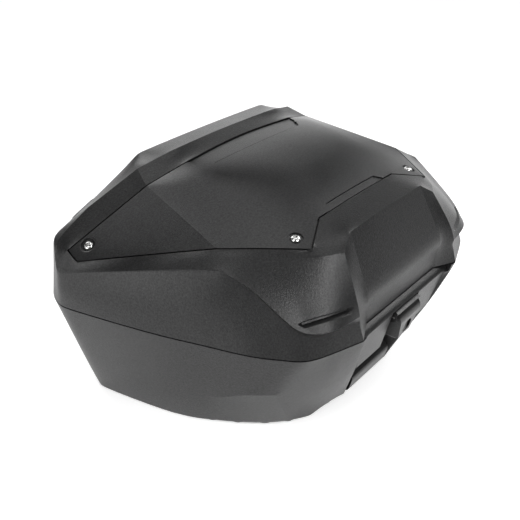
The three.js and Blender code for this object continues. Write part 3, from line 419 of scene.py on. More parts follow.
REAR_ROWS = [[word + part for part in ends] for word, ends in (
    ("rim", ("Mid", "Side", "Tip")), ("lip", ("Mid", "Side", "Tip")), ("panelTop", ("Mid", "A", "B")),
    ("panelLow", ("Mid", "A", "B")), ("pocketTop", ("Mid", "A", "B")), ("pocketLow", ("Mid", "A", "B")))]

BASE_FACES = [
    *[face for upper, lower in zip(REAR_ROWS, REAR_ROWS[1:]) for face in strip("shell", upper, lower)],
    *named_faces(("shell", """
        lipTip panelTopB panelLowB edgeB edgeA
        panelLowB pocketTopB pocketLowB edgeC edgeB
        rimTip lipTip edgeA facetA rimA
        edgeA edgeB edgeC facetFoot facetA
        facetA facetFoot facetFootSide footA bevelA
        rimA facetA bevelA rimB
    """)),
    *strip("shell", BASE_RIM[4:], BEVEL_ROW),
    *strip("shell", BEVEL_ROW, FOOT_ROW),
]

BASE_CREASES = [
    (SHARP, EDGE, *BASE_RIM),
    (3, 0, *BASE_FOOT),
    (2, 0, "lipMid", "lipSide", "lipTip"),
    (3, 0, "panelTopMid", "panelTopA", "panelTopB", "panelLowB"),
    (3, 0, "rimTip", "lipTip", "edgeA", "edgeB", "edgeC"),
    (3, 0, "panelLowMid", "panelLowA", "panelLowB", "pocketTopB", "pocketLowB"),
    (3, 0, "pocketTopMid", "pocketTopA", "pocketTopB"),
    (2, 0, "rimA", "facetA"),
    (SHARP, 1.5, "footA", "bevelA", "bevelB", "bevelC", "bevelD"),
]
BASE_CORNERS = ["rimTip", "lipTip", "bevelA"]

# Rings of the base's hollow: height, then half an outline from the rear's middle to the front's.
HOLLOW_RINGS = [
    (BASE_TOP + 1, [(0, -176), (60, -176), (104, -178), (150, -181), (184, -169), (200, -149), (218, -117),
                    (236, -61), (256, 1), (281, 102), (283, 138), (262, 171), (197, 185), (108, 188),
                    (0, 188)]),
    (57, [(0, -145), (60, -145), (72, -146), (112, -148), (168, -119), (184, -99), (198, -72),
          (213, -42), (236, 10), (256, 102), (259, 136), (239, 161), (192, 174), (103, 180), (0, 180)]),
    (54, [(0, -123), (60, -123), (72, -130), (112, -147), (167, -119), (183, -99), (197, -72),
          (212, -42), (235, 10), (255, 102), (258, 136), (238, 161), (191, 174), (103, 180), (0, 180)]),
    (FLOOR, [(0, -118), (60, -118), (78, -126), (112, -123), (140, -111), (163, -91), (184, -62),
             (201, -35), (223, 13), (242, 103), (242, 133), (223, 153), (181, 164), (98, 170), (0, 170)]),
]


# ---------- mesh tools ----------
def link(obj):
    bpy.context.scene.collection.objects.link(obj)
    return obj


def make_object(name, vertices, faces, radii=None):
    """An object from points in millimetres. radii gives the rounding of each edge, by its two points."""
    mesh = bpy.data.meshes.new(name)
    points = (np.asarray(vertices, float) + (0, BOX_CENTRE_SHIFT, 0)) / 1000
    mesh.from_pydata(points.tolist(), [], [list(map(int, loop)) for loop in faces])
    mesh.update()
    obj = link(bpy.data.objects.new(name, mesh))
    if radii:
        largest = max(radii.values())
        layer = mesh.attributes.new("bevel_weight_edge", "FLOAT", "EDGE")
        weights = [radii.get(edge_key(*edge.vertices), 0) / largest for edge in mesh.edges]
        layer.data.foreach_set("value", weights)
        bevel = obj.modifiers.new("edges", "BEVEL")
        bevel.limit_method = "WEIGHT"
        bevel.width = largest / 1000
        bevel.segments = 3
        applied(obj)
    return obj


def applied(obj):
    bpy.context.view_layer.update()
    mesh = bpy.data.meshes.new_from_object(obj.evaluated_get(bpy.context.evaluated_depsgraph_get()))
    obj.modifiers.clear()
    obj.data = mesh
    return obj


def combined(obj, tools, operation):
    for tool in tools:
        boolean = obj.modifiers.new("solid", "BOOLEAN")
        boolean.operation = operation
        boolean.solver = "EXACT"
        boolean.object = tool
        applied(obj)
        bpy.data.objects.remove(tool)
    return obj


def cut(obj, *tools):
    return combined(obj, tools, "DIFFERENCE")


def joined(obj, *others):
    return combined(obj, others, "UNION")


def common(obj, *others):
    return combined(obj, others, "INTERSECT")


def edited(obj, edit):
    """Runs an edit on an object's mesh."""
    work = bmesh.new()
    work.from_mesh(obj.data)
    edit(work)
    work.to_mesh(obj.data)
    work.free()
    return obj


def weld(work):
    bmesh.ops.remove_doubles(work, verts=work.verts, dist=1e-6)


def face_outward(work):
    bmesh.ops.recalc_face_normals(work, faces=work.faces)


def weld_and_flatten(work):
    weld(work)
    bmesh.ops.dissolve_limit(work, angle_limit=math.radians(1), verts=work.verts, edges=work.edges)


def eased(obj, width, angle=28, segments=3):
    """Rounds the edges that turn by more than an angle."""
    edited(obj, weld_and_flatten)
    bevel = obj.modifiers.new("edges", "BEVEL")
    bevel.limit_method = "ANGLE"
    bevel.angle_limit = math.radians(angle)
    bevel.width = width / 1000
    bevel.segments = segments
    return applied(obj)


def shaded(obj, angle=32):
    """Smooth shading that keeps the edges over an angle, with normals weighted by face size."""
    obj.data.shade_smooth()
    obj.data.set_sharp_from_angle(angle=math.radians(angle))
    weighted = obj.modifiers.new("normals", "WEIGHTED_NORMAL")
    weighted.keep_sharp = True
    return applied(obj)


def turned(obj, turn, point):
    """Turns a piece about its own origin and moves it to a point in millimetres."""
    shift = Matrix.Translation(Vector((0, -BOX_CENTRE_SHIFT / 1000, 0)))
    place = Matrix.Translation(Vector((point[0], point[1] + BOX_CENTRE_SHIFT, point[2])) / 1000)
    obj.data.transform(place @ turn @ shift)
    return obj


def placed(obj, point, normal):
    """Moves a piece whose own +Z is the surface normal to a point of that surface."""
    return turned(obj, Vector(normal).normalized().to_track_quat("Z", "Y").to_matrix().to_4x4(), point)


def fillet(outline, radius, steps=5):
    """Rounds the corners of a closed outline."""
    points = [Vector(p) for p in outline]
    result = []
    for i, corner in enumerate(points):
        before = points[i - 1] - corner
        after = points[(i + 1) % len(points)] - corner
        reach = min(radius, before.length * 0.45, after.length * 0.45)
        start = corner + before.normalized() * reach
        end = corner + after.normalized() * reach
        for k in range(steps + 1):
            t = k / steps
            result.append(tuple(start * (1 - t) ** 2 + corner * 2 * t * (1 - t) + end * t ** 2))
    return result


def prism(name, outline, to_point, low, high):
    """A closed outline extruded between two values, with to_point(u, v, w) giving each point."""
    count = len(outline)
    vertices = [to_point(u, v, w) for w in (low, high) for u, v in outline]
    faces = [list(range(count))[::-1], [count + i for i in range(count)]]
    faces += [[i, (i + 1) % count, count + (i + 1) % count, count + i] for i in range(count)]
    return edited(make_object(name, vertices, faces), face_outward)


def slab_x(name, outline, x0, x1):
    """A side profile in (y, z), extruded along X."""
    return prism(name, outline, lambda u, v, w: (w, u, v), x0, x1)


def slab_y(name, outline, y0, y1):
    """A front outline in (x, z), extruded along Y."""
    return prism(name, outline, lambda u, v, w: (u, w, v), y0, y1)


def slab_z(name, outline, z0, z1):
    return prism(name, outline, lambda u, v, w: (u, v, w), z0, z1)


def rectangle(u0, u1, v0, v1):
    return [(u0, v0), (u1, v0), (u1, v1), (u0, v1)]


def block(name, low, high):
    return slab_z(name, rectangle(low[0], high[0], low[1], high[1]), low[2], high[2])


def revolve(name, profile, sides=48):
    """A profile of (radius, height) turned round Z, closed where its radius is 0."""
    vertices = []
    rows = []
    for radius, height in profile:
        if radius == 0:
            rows.append([len(vertices)] * sides)
            vertices.append((0, 0, height))
            continue
        rows.append(list(range(len(vertices), len(vertices) + sides)))
        for i in range(sides):
            turn = 2 * math.pi * i / sides
            vertices.append((radius * math.cos(turn), radius * math.sin(turn), height))
    faces = []
    for low, high in zip(rows, rows[1:]):
        for i in range(sides):
            j = (i + 1) % sides
            faces.append(list(dict.fromkeys((low[i], low[j], high[j], high[i]))))
    return make_object(name, vertices, faces)


def rod_x(name, radius, x0, x1, y, z, sides=32, round_end=0.4):
    ends = [(0, x0), (radius - round_end, x0), (radius, x0 + round_end), (radius, x1 - round_end),
            (radius - round_end, x1), (0, x1)]
    return turned(revolve(name, ends, sides), Matrix.Rotation(math.pi / 2, 4, "Y"), (0, y, z))


def sweep(name, rings, closed=False):
    """A tube through rings of points; both ends are capped unless it is closed."""
    size = len(rings[0])
    vertices = [p for ring in rings for p in ring]
    pairs = list(zip(range(len(rings) - 1), range(1, len(rings))))
    if closed:
        pairs.append((len(rings) - 1, 0))
    faces = []
    for a, b in pairs:
        for i in range(size):
            j = (i + 1) % size
            faces.append([a * size + i, a * size + j, b * size + j, b * size + i])
    if not closed:
        last = (len(rings) - 1) * size
        faces.append(list(range(size))[::-1])
        faces.append([last + i for i in range(size)])
    return edited(make_object(name, vertices, faces), face_outward)


def smooth_loop(points, steps=4):
    """A closed Catmull-Rom curve through points."""
    count = len(points)
    result = []
    for i in range(count):
        p0, p1, p2, p3 = (np.asarray(points[(i + k) % count], float) for k in (-1, 0, 1, 2))
        for k in range(steps):
            t = k / steps
            result.append(0.5 * (2 * p1 + (p2 - p0) * t + (2 * p0 - 5 * p1 + 4 * p2 - p3) * t ** 2
                                 + (3 * p1 - p0 - 3 * p2 + p3) * t ** 3))
    return result


def whole_loop(half):
    """A half outline (x >= 0), listed from the rear's middle to the front's, with its mirror image."""
    return list(half) + [(-x, y) for x, y in half[-2:0:-1]]


def band_along(name, half, section):
    """A closed band whose section, in (outward, z), follows a loop."""
    loop = smooth_loop(whole_loop(half))
    rings = []
    for i, p in enumerate(loop):
        along = loop[(i + 1) % len(loop)] - loop[i - 1]
        out = np.array((along[1], -along[0])) / np.linalg.norm(along)
        rings.append([(p[0] + out[0] * d, p[1] + out[1] * d, z) for d, z in section])
    return sweep(name, rings, closed=True)


def copied(node):
    """A new piece with the shape of a CAD node."""
    return edited(link(bpy.data.objects.new(node + "_piece", nodes[node].data.copy())), weld)


def sunk(surface, tag, depth, radius):
    """Sinks the faces of one tag, with a wall all round whose upper edge is rounded."""
    chosen = [face for face in surface.faces if face[0] == tag]
    normals = normals_of(surface.vertices, chosen)
    vertices = list(surface.vertices)
    low = {}
    for i, normal in normals.items():
        low[i] = len(vertices)
        vertices.append(surface.vertices[i] - normal * depth)
    rim = rim_of(chosen)
    faces = [(t, [low[i] for i in loop] if t == tag else loop) for t, loop in surface.faces]
    faces += [("wall", [a, b, low[b], low[a]]) for a, b in rim]
    radii = dict(surface.creases)
    for a, b in rim:
        radii[edge_key(a, b)] = (SHARP, radius)
    return Surface(vertices, faces, radii)


def skin(surface, tag, gap, thickness, radius, sunk_by=0.0):
    """A skin that fills the faces of one tag, with a gap at its rim and a rounded upper edge."""
    chosen = [face for face in surface.faces if face[0] == tag]
    normals = normals_of(surface.vertices, chosen)
    rim = rim_of(chosen)
    inward = {}
    for a, b in rim:
        along = surface.vertices[b] - surface.vertices[a]
        for i in (a, b):
            side = np.cross(normals[i], along)
            inward.setdefault(i, []).append(side / np.linalg.norm(side))
    vertices = []
    upper = {}
    lower = {}
    for i, normal in normals.items():
        point = surface.vertices[i]
        if i in inward:
            mean = sum(inward[i]) / np.linalg.norm(sum(inward[i]))
            point = point + mean * gap / max(0.4, mean @ inward[i][0])
        upper[i] = len(vertices)
        vertices.append(point - normal * sunk_by)
        lower[i] = len(vertices)
        vertices.append(point - normal * thickness)
    faces = [("top", [upper[i] for i in loop]) for _, loop in chosen]
    faces += [("under", [lower[i] for i in reversed(loop)]) for _, loop in chosen]
    faces += [("edge", [upper[b], upper[a], lower[a], lower[b]]) for a, b in rim]
    creases = {edge_key(upper[a], upper[b]): crease for (a, b), crease in surface.creases.items()
               if a in upper and b in upper}
    creases.update({edge_key(upper[a], upper[b]): (SHARP, radius) for a, b in rim})
    return Surface(vertices, faces, creases)


def surface_object(name, surface):
    radii = {edge: radius for edge, (_, radius) in surface.creases.items() if radius}
    return make_object(name, surface.vertices, [loop for _, loop in surface.faces], radii)


def finished(obj, name, body, slot, node):
    """Gives a piece its name, body and material, in place of a CAD node."""
    obj.name = name
    obj.data.name = name
    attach(obj, body)
    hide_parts(node)
    obj.data.materials.clear()
    obj.data.materials.append(finishes[slot])
    return obj


# ---------- materials ----------
class Nodes:
    """Short calls for building a node material."""

    def __init__(self, name):
        self.material = bpy.data.materials.new(name)
        self.material.use_nodes = True
        self.tree = self.material.node_tree
        self.shader = self.tree.nodes["Principled BSDF"]
        self.place = self.add("ShaderNodeTexCoord").outputs["Object"]

    def add(self, kind, **values):
        node = self.tree.nodes.new(kind)
        for key, value in values.items():
            if key in node.inputs:
                node.inputs[key].default_value = value
            else:
                setattr(node, key, value)
        return node

    def join(self, source, target):
        self.tree.links.new(source, target)

    def noise(self, scale, detail=2.0, roughness=0.5, where=None):
        node = self.add("ShaderNodeTexNoise", Scale=scale, Detail=detail, Roughness=roughness)
        self.join(where or self.place, node.inputs["Vector"])
        return node.outputs["Fac"]

    def cells(self, scale):
        node = self.add("ShaderNodeTexVoronoi", Scale=scale)
        self.join(self.place, node.inputs["Vector"])
        return node.outputs["Distance"]

    def stretched(self, x, y, z):
        node = self.add("ShaderNodeMapping")
        node.inputs["Scale"].default_value = (x, y, z)
        self.join(self.place, node.inputs["Vector"])
        return node.outputs["Vector"]

    def span(self, value, low, high, to_low, to_high):
        node = self.add("ShaderNodeMapRange")
        for key, number in zip(("From Min", "From Max", "To Min", "To Max"), (low, high, to_low, to_high)):
            node.inputs[key].default_value = number
        self.join(value, node.inputs["Value"])
        return node.outputs["Result"]

    def math(self, operation, a, b):
        node = self.add("ShaderNodeMath", operation=operation)
        for socket, value in zip(node.inputs, (a, b)):
            if isinstance(value, (int, float)):
                socket.default_value = value
            else:
                self.join(value, socket)
        return node.outputs[0]

    def tint(self, factor, dark, light):
        node = self.add("ShaderNodeMix", data_type="RGBA")
        self.join(factor, node.inputs["Factor"])
        for socket, colour in zip([s for s in node.inputs if s.type == "RGBA"], (dark, light)):
            socket.default_value = (*colour, 1)
        return [s for s in node.outputs if s.type == "RGBA"][0]

    def bump(self, height, strength, distance):
        node = self.add("ShaderNodeBump", Strength=strength, Distance=distance)
        self.join(height, node.inputs["Height"])
        return node.outputs["Normal"]

    def edges(self):
        """1 along convex edges, where hands and luggage rub the surface."""
        return self.span(self.add("ShaderNodeNewGeometry").outputs["Pointiness"], 0.52, 0.62, 0, 1)


def grained_plastic(name, dark, light, rough, grain, depth):
    """Moulded plastic with a leather-like grain, slight mottling and edges rubbed smoother and lighter."""
    n = Nodes(name)
    mottle = n.noise(9, 4, 0.6)
    speckle = n.noise(900, 2, 0.6)
    rubbed = n.math("MULTIPLY", n.edges(), n.span(n.noise(60, 3), 0.35, 0.7, 0, 1))
    tone = n.math("ADD", n.span(mottle, 0.3, 0.7, 0, 0.45), n.span(speckle, 0.3, 0.7, 0, 0.35))
    n.join(n.tint(n.math("ADD", tone, n.math("MULTIPLY", rubbed, 0.7)), dark, light),
           n.shader.inputs["Base Color"])
    roughness = n.math("ADD", n.span(mottle, 0.3, 0.7, rough - 0.04, rough + 0.05),
                       n.span(speckle, 0.3, 0.7, -0.03, 0.03))
    n.join(n.math("SUBTRACT", roughness, n.math("MULTIPLY", rubbed, 0.12)), n.shader.inputs["Roughness"])
    coarse = n.cells(grain)
    fine = n.noise(grain * 2.3, 3, 0.6)
    height = n.math("ADD", n.math("MULTIPLY", coarse, 0.8), n.math("MULTIPLY", fine, 0.6))
    n.join(n.bump(height, 0.55, depth), n.shader.inputs["Normal"])
    pores = n.noise(430, 2, 0.7)
    n.join(n.span(pores, 0.3, 0.7, 0.31, 0.53), n.shader.inputs["Specular IOR Level"])
    return n.material


def ribbed_rubber():
    """Soft black rubber, dusty in its pores."""
    n = Nodes("rubber")
    dust = n.noise(25, 5, 0.65)
    pores = n.noise(1500, 2, 0.5)
    n.join(n.tint(n.span(dust, 0.35, 0.7, 0, 1), (0.008, 0.008, 0.008), (0.021, 0.021, 0.021)),
           n.shader.inputs["Base Color"])
    n.join(n.span(dust, 0.3, 0.7, 0.72, 0.9), n.shader.inputs["Roughness"])
    n.join(n.bump(pores, 0.4, 0.0003), n.shader.inputs["Normal"])
    return n.material


def plated_metal(name, dark, light, rough, spots):
    """Plated metal with a soft haze, fine turning marks and darker spots."""
    n = Nodes(name)
    haze = n.noise(140, 4, 0.6)
    marks = n.noise(600, 3, 0.5, n.stretched(1, 1, 9))
    n.join(n.tint(n.span(haze, 0.35, spots, 0, 1), dark, light), n.shader.inputs["Base Color"])
    n.join(n.span(marks, 0.3, 0.7, rough - 0.07, rough + 0.1), n.shader.inputs["Roughness"])
    n.join(n.bump(marks, 0.2, 0.00012), n.shader.inputs["Normal"])
    n.shader.inputs["Metallic"].default_value = 1
    return n.material


PLASTICS = {
    "shell_plastic": ((0.0062, 0.0062, 0.0064), (0.0145, 0.0145, 0.0149), 0.37, 640, 0.0003),
    "panel_plastic": ((0.0068, 0.0068, 0.007), (0.0155, 0.0155, 0.0159), 0.35, 820, 0.0002),
    "trim_plastic": ((0.005, 0.005, 0.0051), (0.011, 0.011, 0.0113), 0.33, 1100, 0.0001),
}
finishes = {
    **{name: grained_plastic(name, *values) for name, values in PLASTICS.items()},
    "rubber": ribbed_rubber(),
    "bright_zinc": plated_metal("bright_zinc", (0.42, 0.42, 0.41), (0.78, 0.78, 0.77), 0.24, 0.55),
    "steel": plated_metal("steel", (0.1, 0.1, 0.1), (0.26, 0.26, 0.255), 0.36, 0.6),
}

# ---------- lid ----------
lid_cage = fitted(build_cage(LID_POINTS, LID_FACES, LID_CREASES, [(LID_RIM, False)], LID_CORNERS))
lid_coarse = levels(lid_cage, LEVELS - 1)
lid_outer = subdivide(lid_coarse)
lid_tree = BVHTree.FromPolygons([tuple(p) for p in lid_outer.vertices],
                                [tuple(loop) for tag, loop in lid_outer.faces])


def neighbours_of(faces):
    around = {}
    for _, loop in faces:
        for a, b in zip(loop, loop[1:] + loop[:1]):
            around.setdefault(a, set()).add(b)
            around.setdefault(b, set()).add(a)
    return around


def relaxed(values, around, fixed, rounds):
    """Moves each value half-way to the mean of its neighbours, except the fixed ones."""
    keys = [i for i in around if i not in fixed]
    for _ in range(rounds):
        means = {i: sum(values[j] for j in around[i]) / len(around[i]) for i in keys}
        for i in keys:
            values[i] = values[i] * 0.5 + means[i] * 0.5
    return values


# Ends of the long grip groove in the left-hand shoulder of the lid.
GROOVE_ENDS = np.array([(-191, -162, 200), (-125, -192.5, 201)])


def groove_distance(point):
    """How far a point of the lid is from the line of its nearer grip groove."""
    start, end = GROOVE_ENDS
    along = end - start
    place = np.array((-abs(point[0]), point[1], point[2])) - start
    share = min(1.0, max(0.0, place @ along / (along @ along)))
    return np.linalg.norm(place - along * share)


def lining_depths(faces, around, outer, normals):
    """How far the lid's lining is behind each point of its skin: deeper behind seats and grip grooves."""
    depth = {i: WALL for i in around}
    seats = {"cover": PANEL_SEAT + 0.85 * WALL, "front": FRONT_SEAT + 0.85 * WALL}
    for tag, loop in faces:
        for i in loop:
            depth[i] = max(depth[i], seats.get(tag, WALL))
    for i in around:
        if groove_distance(outer[i]) < GROOVE_REACH and normals[i][2] > 0.2:
            depth[i] = WALL + GROOVE_BACKING
    deep = {i for i, d in depth.items() if d > WALL}
    return relaxed(depth, around, deep, 6)


def lid_lining():
    """The points and faces of the inside of the lid's moulding."""
    faces = [(tag, loop) for tag, loop in lid_coarse.faces if tag != "cap"]
    around = neighbours_of(faces)
    outer = lid_outer.vertices[:len(lid_coarse.vertices)]
    normals = relaxed(normals_of(outer, faces), around, set(), 3)
    depth = lining_depths(faces, around, outer, normals)
    rim = {i for pair in rim_of(faces) for i in pair}
    places = {}
    for i, normal in normals.items():
        if i in rim:
            flat = normal * (1, 1, 0)
            places[i] = outer[i] - flat / np.linalg.norm(flat) * (WALL + 1.5)
            places[i][1] = max(places[i][1], RIM_REAR)
        else:
            places[i] = outer[i] - normal / np.linalg.norm(normal) * depth[i]
            places[i][1] = max(places[i][1], LINING_REAR + max(0.0, (places[i][2] - 175) * 0.4))
    return relaxed(places, around, rim, 3), faces


def lid_shell_surface():
    """The lid's moulding as one closed surface: skin with its seats, rim and lining."""
    seated = sunk(sunk(lid_outer, "cover", PANEL_SEAT, EDGE), "front", FRONT_SEAT, EDGE)
    skin_faces = [face for face in seated.faces if face[0] != "cap"]
    lining, lining_faces = lid_lining()
    vertices = list(seated.vertices)
    inner = {}
    for i, place in lining.items():
        inner[i] = len(vertices)
        vertices.append(place)
    faces = skin_faces + [("lining", [inner[i] for i in reversed(loop)]) for _, loop in lining_faces]
    following = dict(rim_of(skin_faces))
    for a, b in rim_of(lining_faces):
        faces.append(("rim", [b, following[a], a, inner[a], inner[b]]))
    return Surface(vertices, faces, seated.creases)


def nearest_on_lid(point):
    """The lid skin's nearest point and its normal, both in millimetres of the part frame."""
    place, normal, _, _ = lid_tree.find_nearest(Vector(point))
    return np.array(place), np.array(normal)


# Point on the cover's outer surface and the direction that its screw faces, for the right-hand half.
SCREW_PLACES = {"rear": ((131, -112, 268), (0.2, -0.27, 0.94)), "wing": ((259, 106, 238), (0.5, -0.18, 0.85))}


def mirrored(point, side):
    return (point[0] * side, point[1], point[2])


def each_screw():
    for name, (point, normal) in SCREW_PLACES.items():
        for side, word in ((1, "right"), (-1, "left")):
            yield f"{name}_{word}", mirrored(point, side), mirrored(normal, side)


def well_tool(point, normal):
    """The counterbore of a cover screw: a rounded mouth, a straight wall and a rounded floor."""
    depth = SCREW_WELL_DEPTH
    radius = SCREW_WELL_RADIUS
    profile = [(0, -depth), (radius - 1, -depth), (radius - 0.3, -depth + 0.3), (radius, -depth + 1),
               (radius, -1.2), (radius + 0.25, -0.5), (radius + 0.9, 0), (radius + 2.4, 0.4),
               (radius + 2.4, 8), (0, 8)]
    return placed(revolve("well", profile, 64), point, normal)


def button_screw(name, point, normal, sunk_by):
    """A button-head screw with a six-lobed socket; the head stands on the surface it clamps."""
    radius = SCREW_HEAD_RADIUS
    dome = [(0, -5.2), (1.2, -5.0), (2.4, -3.8), (2.4, 0), (radius - 0.15, 0), (radius, 0.25),
            (radius - 0.12, 0.8), (radius * 0.9, 1.6), (radius * 0.74, 2.4), (radius * 0.55, 2.95), (0, 3.2)]
    screw = revolve(name, dome, 64)
    lobes = []
    for i in range(48):
        turn = 2 * math.pi * i / 48
        reach = radius * (0.36 + 0.055 * math.cos(6 * turn))
        lobes.append((reach * math.cos(turn), reach * math.sin(turn)))
    cut(screw, slab_z("socket", lobes, 1.1, 5))
    shaded(screw, 40)
    return placed(screw, np.array(point) - np.array(normal) / np.linalg.norm(normal) * sunk_by, normal)


def slot_tool(side):
    """The long grip groove in a shoulder of the lid: a level roof and a floor that slopes out below it."""
    start, end = GROOVE_ENDS
    section = ((4, 2.9), (0.4, 2.7), (-5, 2.4), (-5.8, 1.8), (-5.8, -0.6), (-5.2, -1.3), (0.4, -6.2),
               (4, -8.8))
    rings = []
    for t in np.linspace(0, 1, 13):
        place, normal = nearest_on_lid(start * (1 - t) + end * t)
        up = np.cross(normal, end - start)
        up /= np.linalg.norm(up)
        if up[2] < 0:
            up = -up
        close = math.sqrt(max(0.0, 1 - abs(2 * t - 1) ** 14))
        ring = [place + normal * d * (close if d < 0 else 1) + up * h * (0.55 + 0.45 * close)
                for d, h in section]
        rings.append([(p[0] * -side, p[1], p[2]) for p in ring])
    return sweep("slot", rings)


def hinge_pocket(x):
    """Room in the lid's wall for a hinge leaf."""
    return block("pocket", (x - LEAF_HALF - 0.3, HINGE_Y - KNUCKLE_RADIUS - 0.3, LID_BOTTOM - 4),
                 (x + LEAF_HALF + 0.3, 225, PARTING_Z + LEAF_REACH + 0.3))


def make_lid_shell():
    surface = lid_shell_surface()
    shell = surface_object("lid_shell_piece", surface)
    tools = [slot_tool(side) for side in (1, -1)]
    tools += [hinge_pocket(x) for x in (-HINGE_X, HINGE_X)]
    for _, point, normal in each_screw():
        room = slab_z("room", circle(BOSS_RADIUS + 0.6, 40), -PANEL_SEAT - 0.3, 4)
        tools.append(placed(room, point, normal))
    cut(shell, *tools)
    return finished(shaded(shell), "lid_moulding", "lid", "shell_plastic", "lid_shell")


def circle(radius, sides=48):
    return [(radius * math.cos(2 * math.pi * i / sides), radius * math.sin(2 * math.pi * i / sides))
            for i in range(sides)]


def border_tool(outline, depth):
    """What a border of the cover panel is lowered by: the space over its surface, inside an outline."""
    over = skin(lid_outer, "cover", 0, depth, 0, -12)
    space = make_object("border", over.vertices, [loop for _, loop in over.faces])
    return common(space, slab_z("inside", outline, 200, 400))


def border_groove(path):
    """A shallow round-bottomed groove along a border line of the cover panel."""
    rings = []
    for (x0, y0), (x1, y1) in zip(path, path[1:]):
        steps = max(2, round(math.dist((x0, y0), (x1, y1)) / 8))
        for k in range(steps):
            x = x0 + (x1 - x0) * k / steps
            y = y0 + (y1 - y0) * k / steps
            place, _, _, _ = lid_tree.ray_cast(Vector((x, y, 400)), Vector((0, 0, -1)))
            across = Vector((y0 - y1, x1 - x0, 0)).normalized()
            ring = [place + across * 2.0 * math.cos(turn) + Vector((0, 0, 1)) * (3.2 * math.sin(turn) + 0.2)
                    for turn in (2 * math.pi * i / 12 for i in range(12))]
            rings.append([tuple(p) for p in ring])
    return sweep("groove", rings)


def make_cover_panel():
    surface = skin(lid_outer, "cover", PANEL_GAP, PANEL_THICKNESS, EDGE)
    panel = surface_object("panel", surface)
    bosses = []
    wells = []
    for _, point, normal in each_screw():
        boss = slab_z("boss", circle(BOSS_RADIUS), -PANEL_SEAT + 0.3, -PANEL_THICKNESS / 2)
        bosses.append(placed(boss, point, normal))
        wells.append(well_tool(point, normal))
    joined(panel, *bosses)
    front = [(-120, 130), (-106, 69), (-89, 50), (89, 50), (106, 69), (120, 130)]
    rear = [(-66, -112.5), (-54, -100), (54, -100), (66, -112.5), (66, -140), (-66, -140)]
    wells += [border_tool(front, BORDER_DEPTH), border_tool(rear, BORDER_DEPTH)]
    wells.append(border_groove(front[1:-1]))
    cut(panel, *wells)
    return finished(shaded(panel), "cover_panel", "lid", "panel_plastic", "lid_cover_panel")


def make_front_cover():
    surface = skin(lid_outer, "front", FRONT_GAP, FRONT_THICKNESS, EDGE, FRONT_SUNK)
    cover = surface_object("front", surface)
    return finished(shaded(cover), "front_cover", "lid", "shell_plastic", "lid_front_cover")


# ---------- base ----------
SEAL_HALF = [(0, -179.5), (60, -179.5), (102, -181.5), (151, -183.5), (186, -171), (202.5, -149.5),
             (220.5, -117), (238.5, -61), (258.5, 2), (283.5, 103), (285.5, 139), (264, 172.5), (198, 186.5),
             (108, 189.5), (0, 189.5)]
SEAL_FLOOR = 152.6
SEAL_GROOVE_HALF = 1.95
MAT_HALF = [(0, -110), (58, -110), (78, -117), (108, -113), (132, -104), (153, -86), (174, -58), (191, -32),
            (212, 13), (230, 100), (230, 128), (214, 143), (176, 153), (96, 159), (0, 159)]
SEAT_HEIGHT = 5.5
PANEL_TOP = 146.8
PANEL_FOOT = 88.0


def hollow_tool():
    """The inside of the base, lofted through its rings with rounded corners."""
    vertices = []
    for z, half in HOLLOW_RINGS:
        vertices += [(x, y, z) for x, y in whole_loop(half)]
    size = len(vertices) // len(HOLLOW_RINGS)
    faces = []
    for r in range(len(HOLLOW_RINGS) - 1):
        for i in range(size):
            j = (i + 1) % size
            faces.append(("side", [r * size + i, (r + 1) * size + i, (r + 1) * size + j, r * size + j]))
    faces.append(("cap", list(range(size))))
    last = (len(HOLLOW_RINGS) - 1) * size
    faces.append(("floor", [last + i for i in reversed(range(size))]))
    top = {edge_key(i, (i + 1) % size): (SHARP, 0) for i in range(size)}
    bottom = {edge_key(last + i, last + (i + 1) % size): (1.5, 0) for i in range(size)}
    hollow = levels(fitted(Surface(vertices, faces, {**top, **bottom})), 3)
    return make_object("hollow", hollow.vertices, [loop for _, loop in hollow.faces])


def ledge_slope():
    """What the ledge under the lid's rear edge is cut back by, so that it falls away from the case."""
    profile = [(-187.4, 155.9), (-187.4, 155.1), (-191.5, 153.2), (-194.8, 150.2), (-196.8, 146), (-210, 138),
               (-210, 155.9)]
    outline = [(-98, 0), (98, 0), (110, 170), (-110, 170)]
    return common(slab_x("slope", profile, -120, 120), slab_y("width", outline, -220, -170))


def latch_side_panel(side):
    """The flat panel between the lever and a rear corner of the base, under the ledge."""
    outline = [(33, PANEL_FOOT), (90.5, PANEL_FOOT), (107, PANEL_TOP), (33, PANEL_TOP)]
    profile = [(-195.2, PANEL_TOP), (-181.2, PANEL_FOOT), (-150, PANEL_FOOT), (-150, PANEL_TOP)]
    panel = slab_y("panel", [(x * side, z) for x, z in outline], -205, -140)
    return eased(common(panel, slab_x("side", profile, -120, 120)), 0.8)


def make_base_shell():
    caps = [(BASE_RIM, True), (BASE_FOOT, False)]
    cage = fitted(build_cage(BASE_POINTS, BASE_FACES, BASE_CREASES, caps, BASE_CORNERS))
    shell = surface_object("base", levels(cage, LEVELS))
    section = rectangle(-SEAL_GROOVE_HALF, SEAL_GROOVE_HALF, SEAL_FLOOR, 160)
    groove = band_along("groove", SEAL_HALF, section)
    seat = slab_z("seat", fillet(rectangle(-95, 95, -104, 140), 6), -5, SEAT_HEIGHT)
    slot = block("slot", (-14.6, -140, 0.9), (14.6, -103, SEAT_HEIGHT - 0.05))
    cut(shell, ledge_slope())
    joined(shell, latch_side_panel(1), latch_side_panel(-1))
    cut(shell, slot, hollow_tool(), groove, seat)
    return finished(shaded(shell), "base_moulding", "base", "shell_plastic", "base_shell")


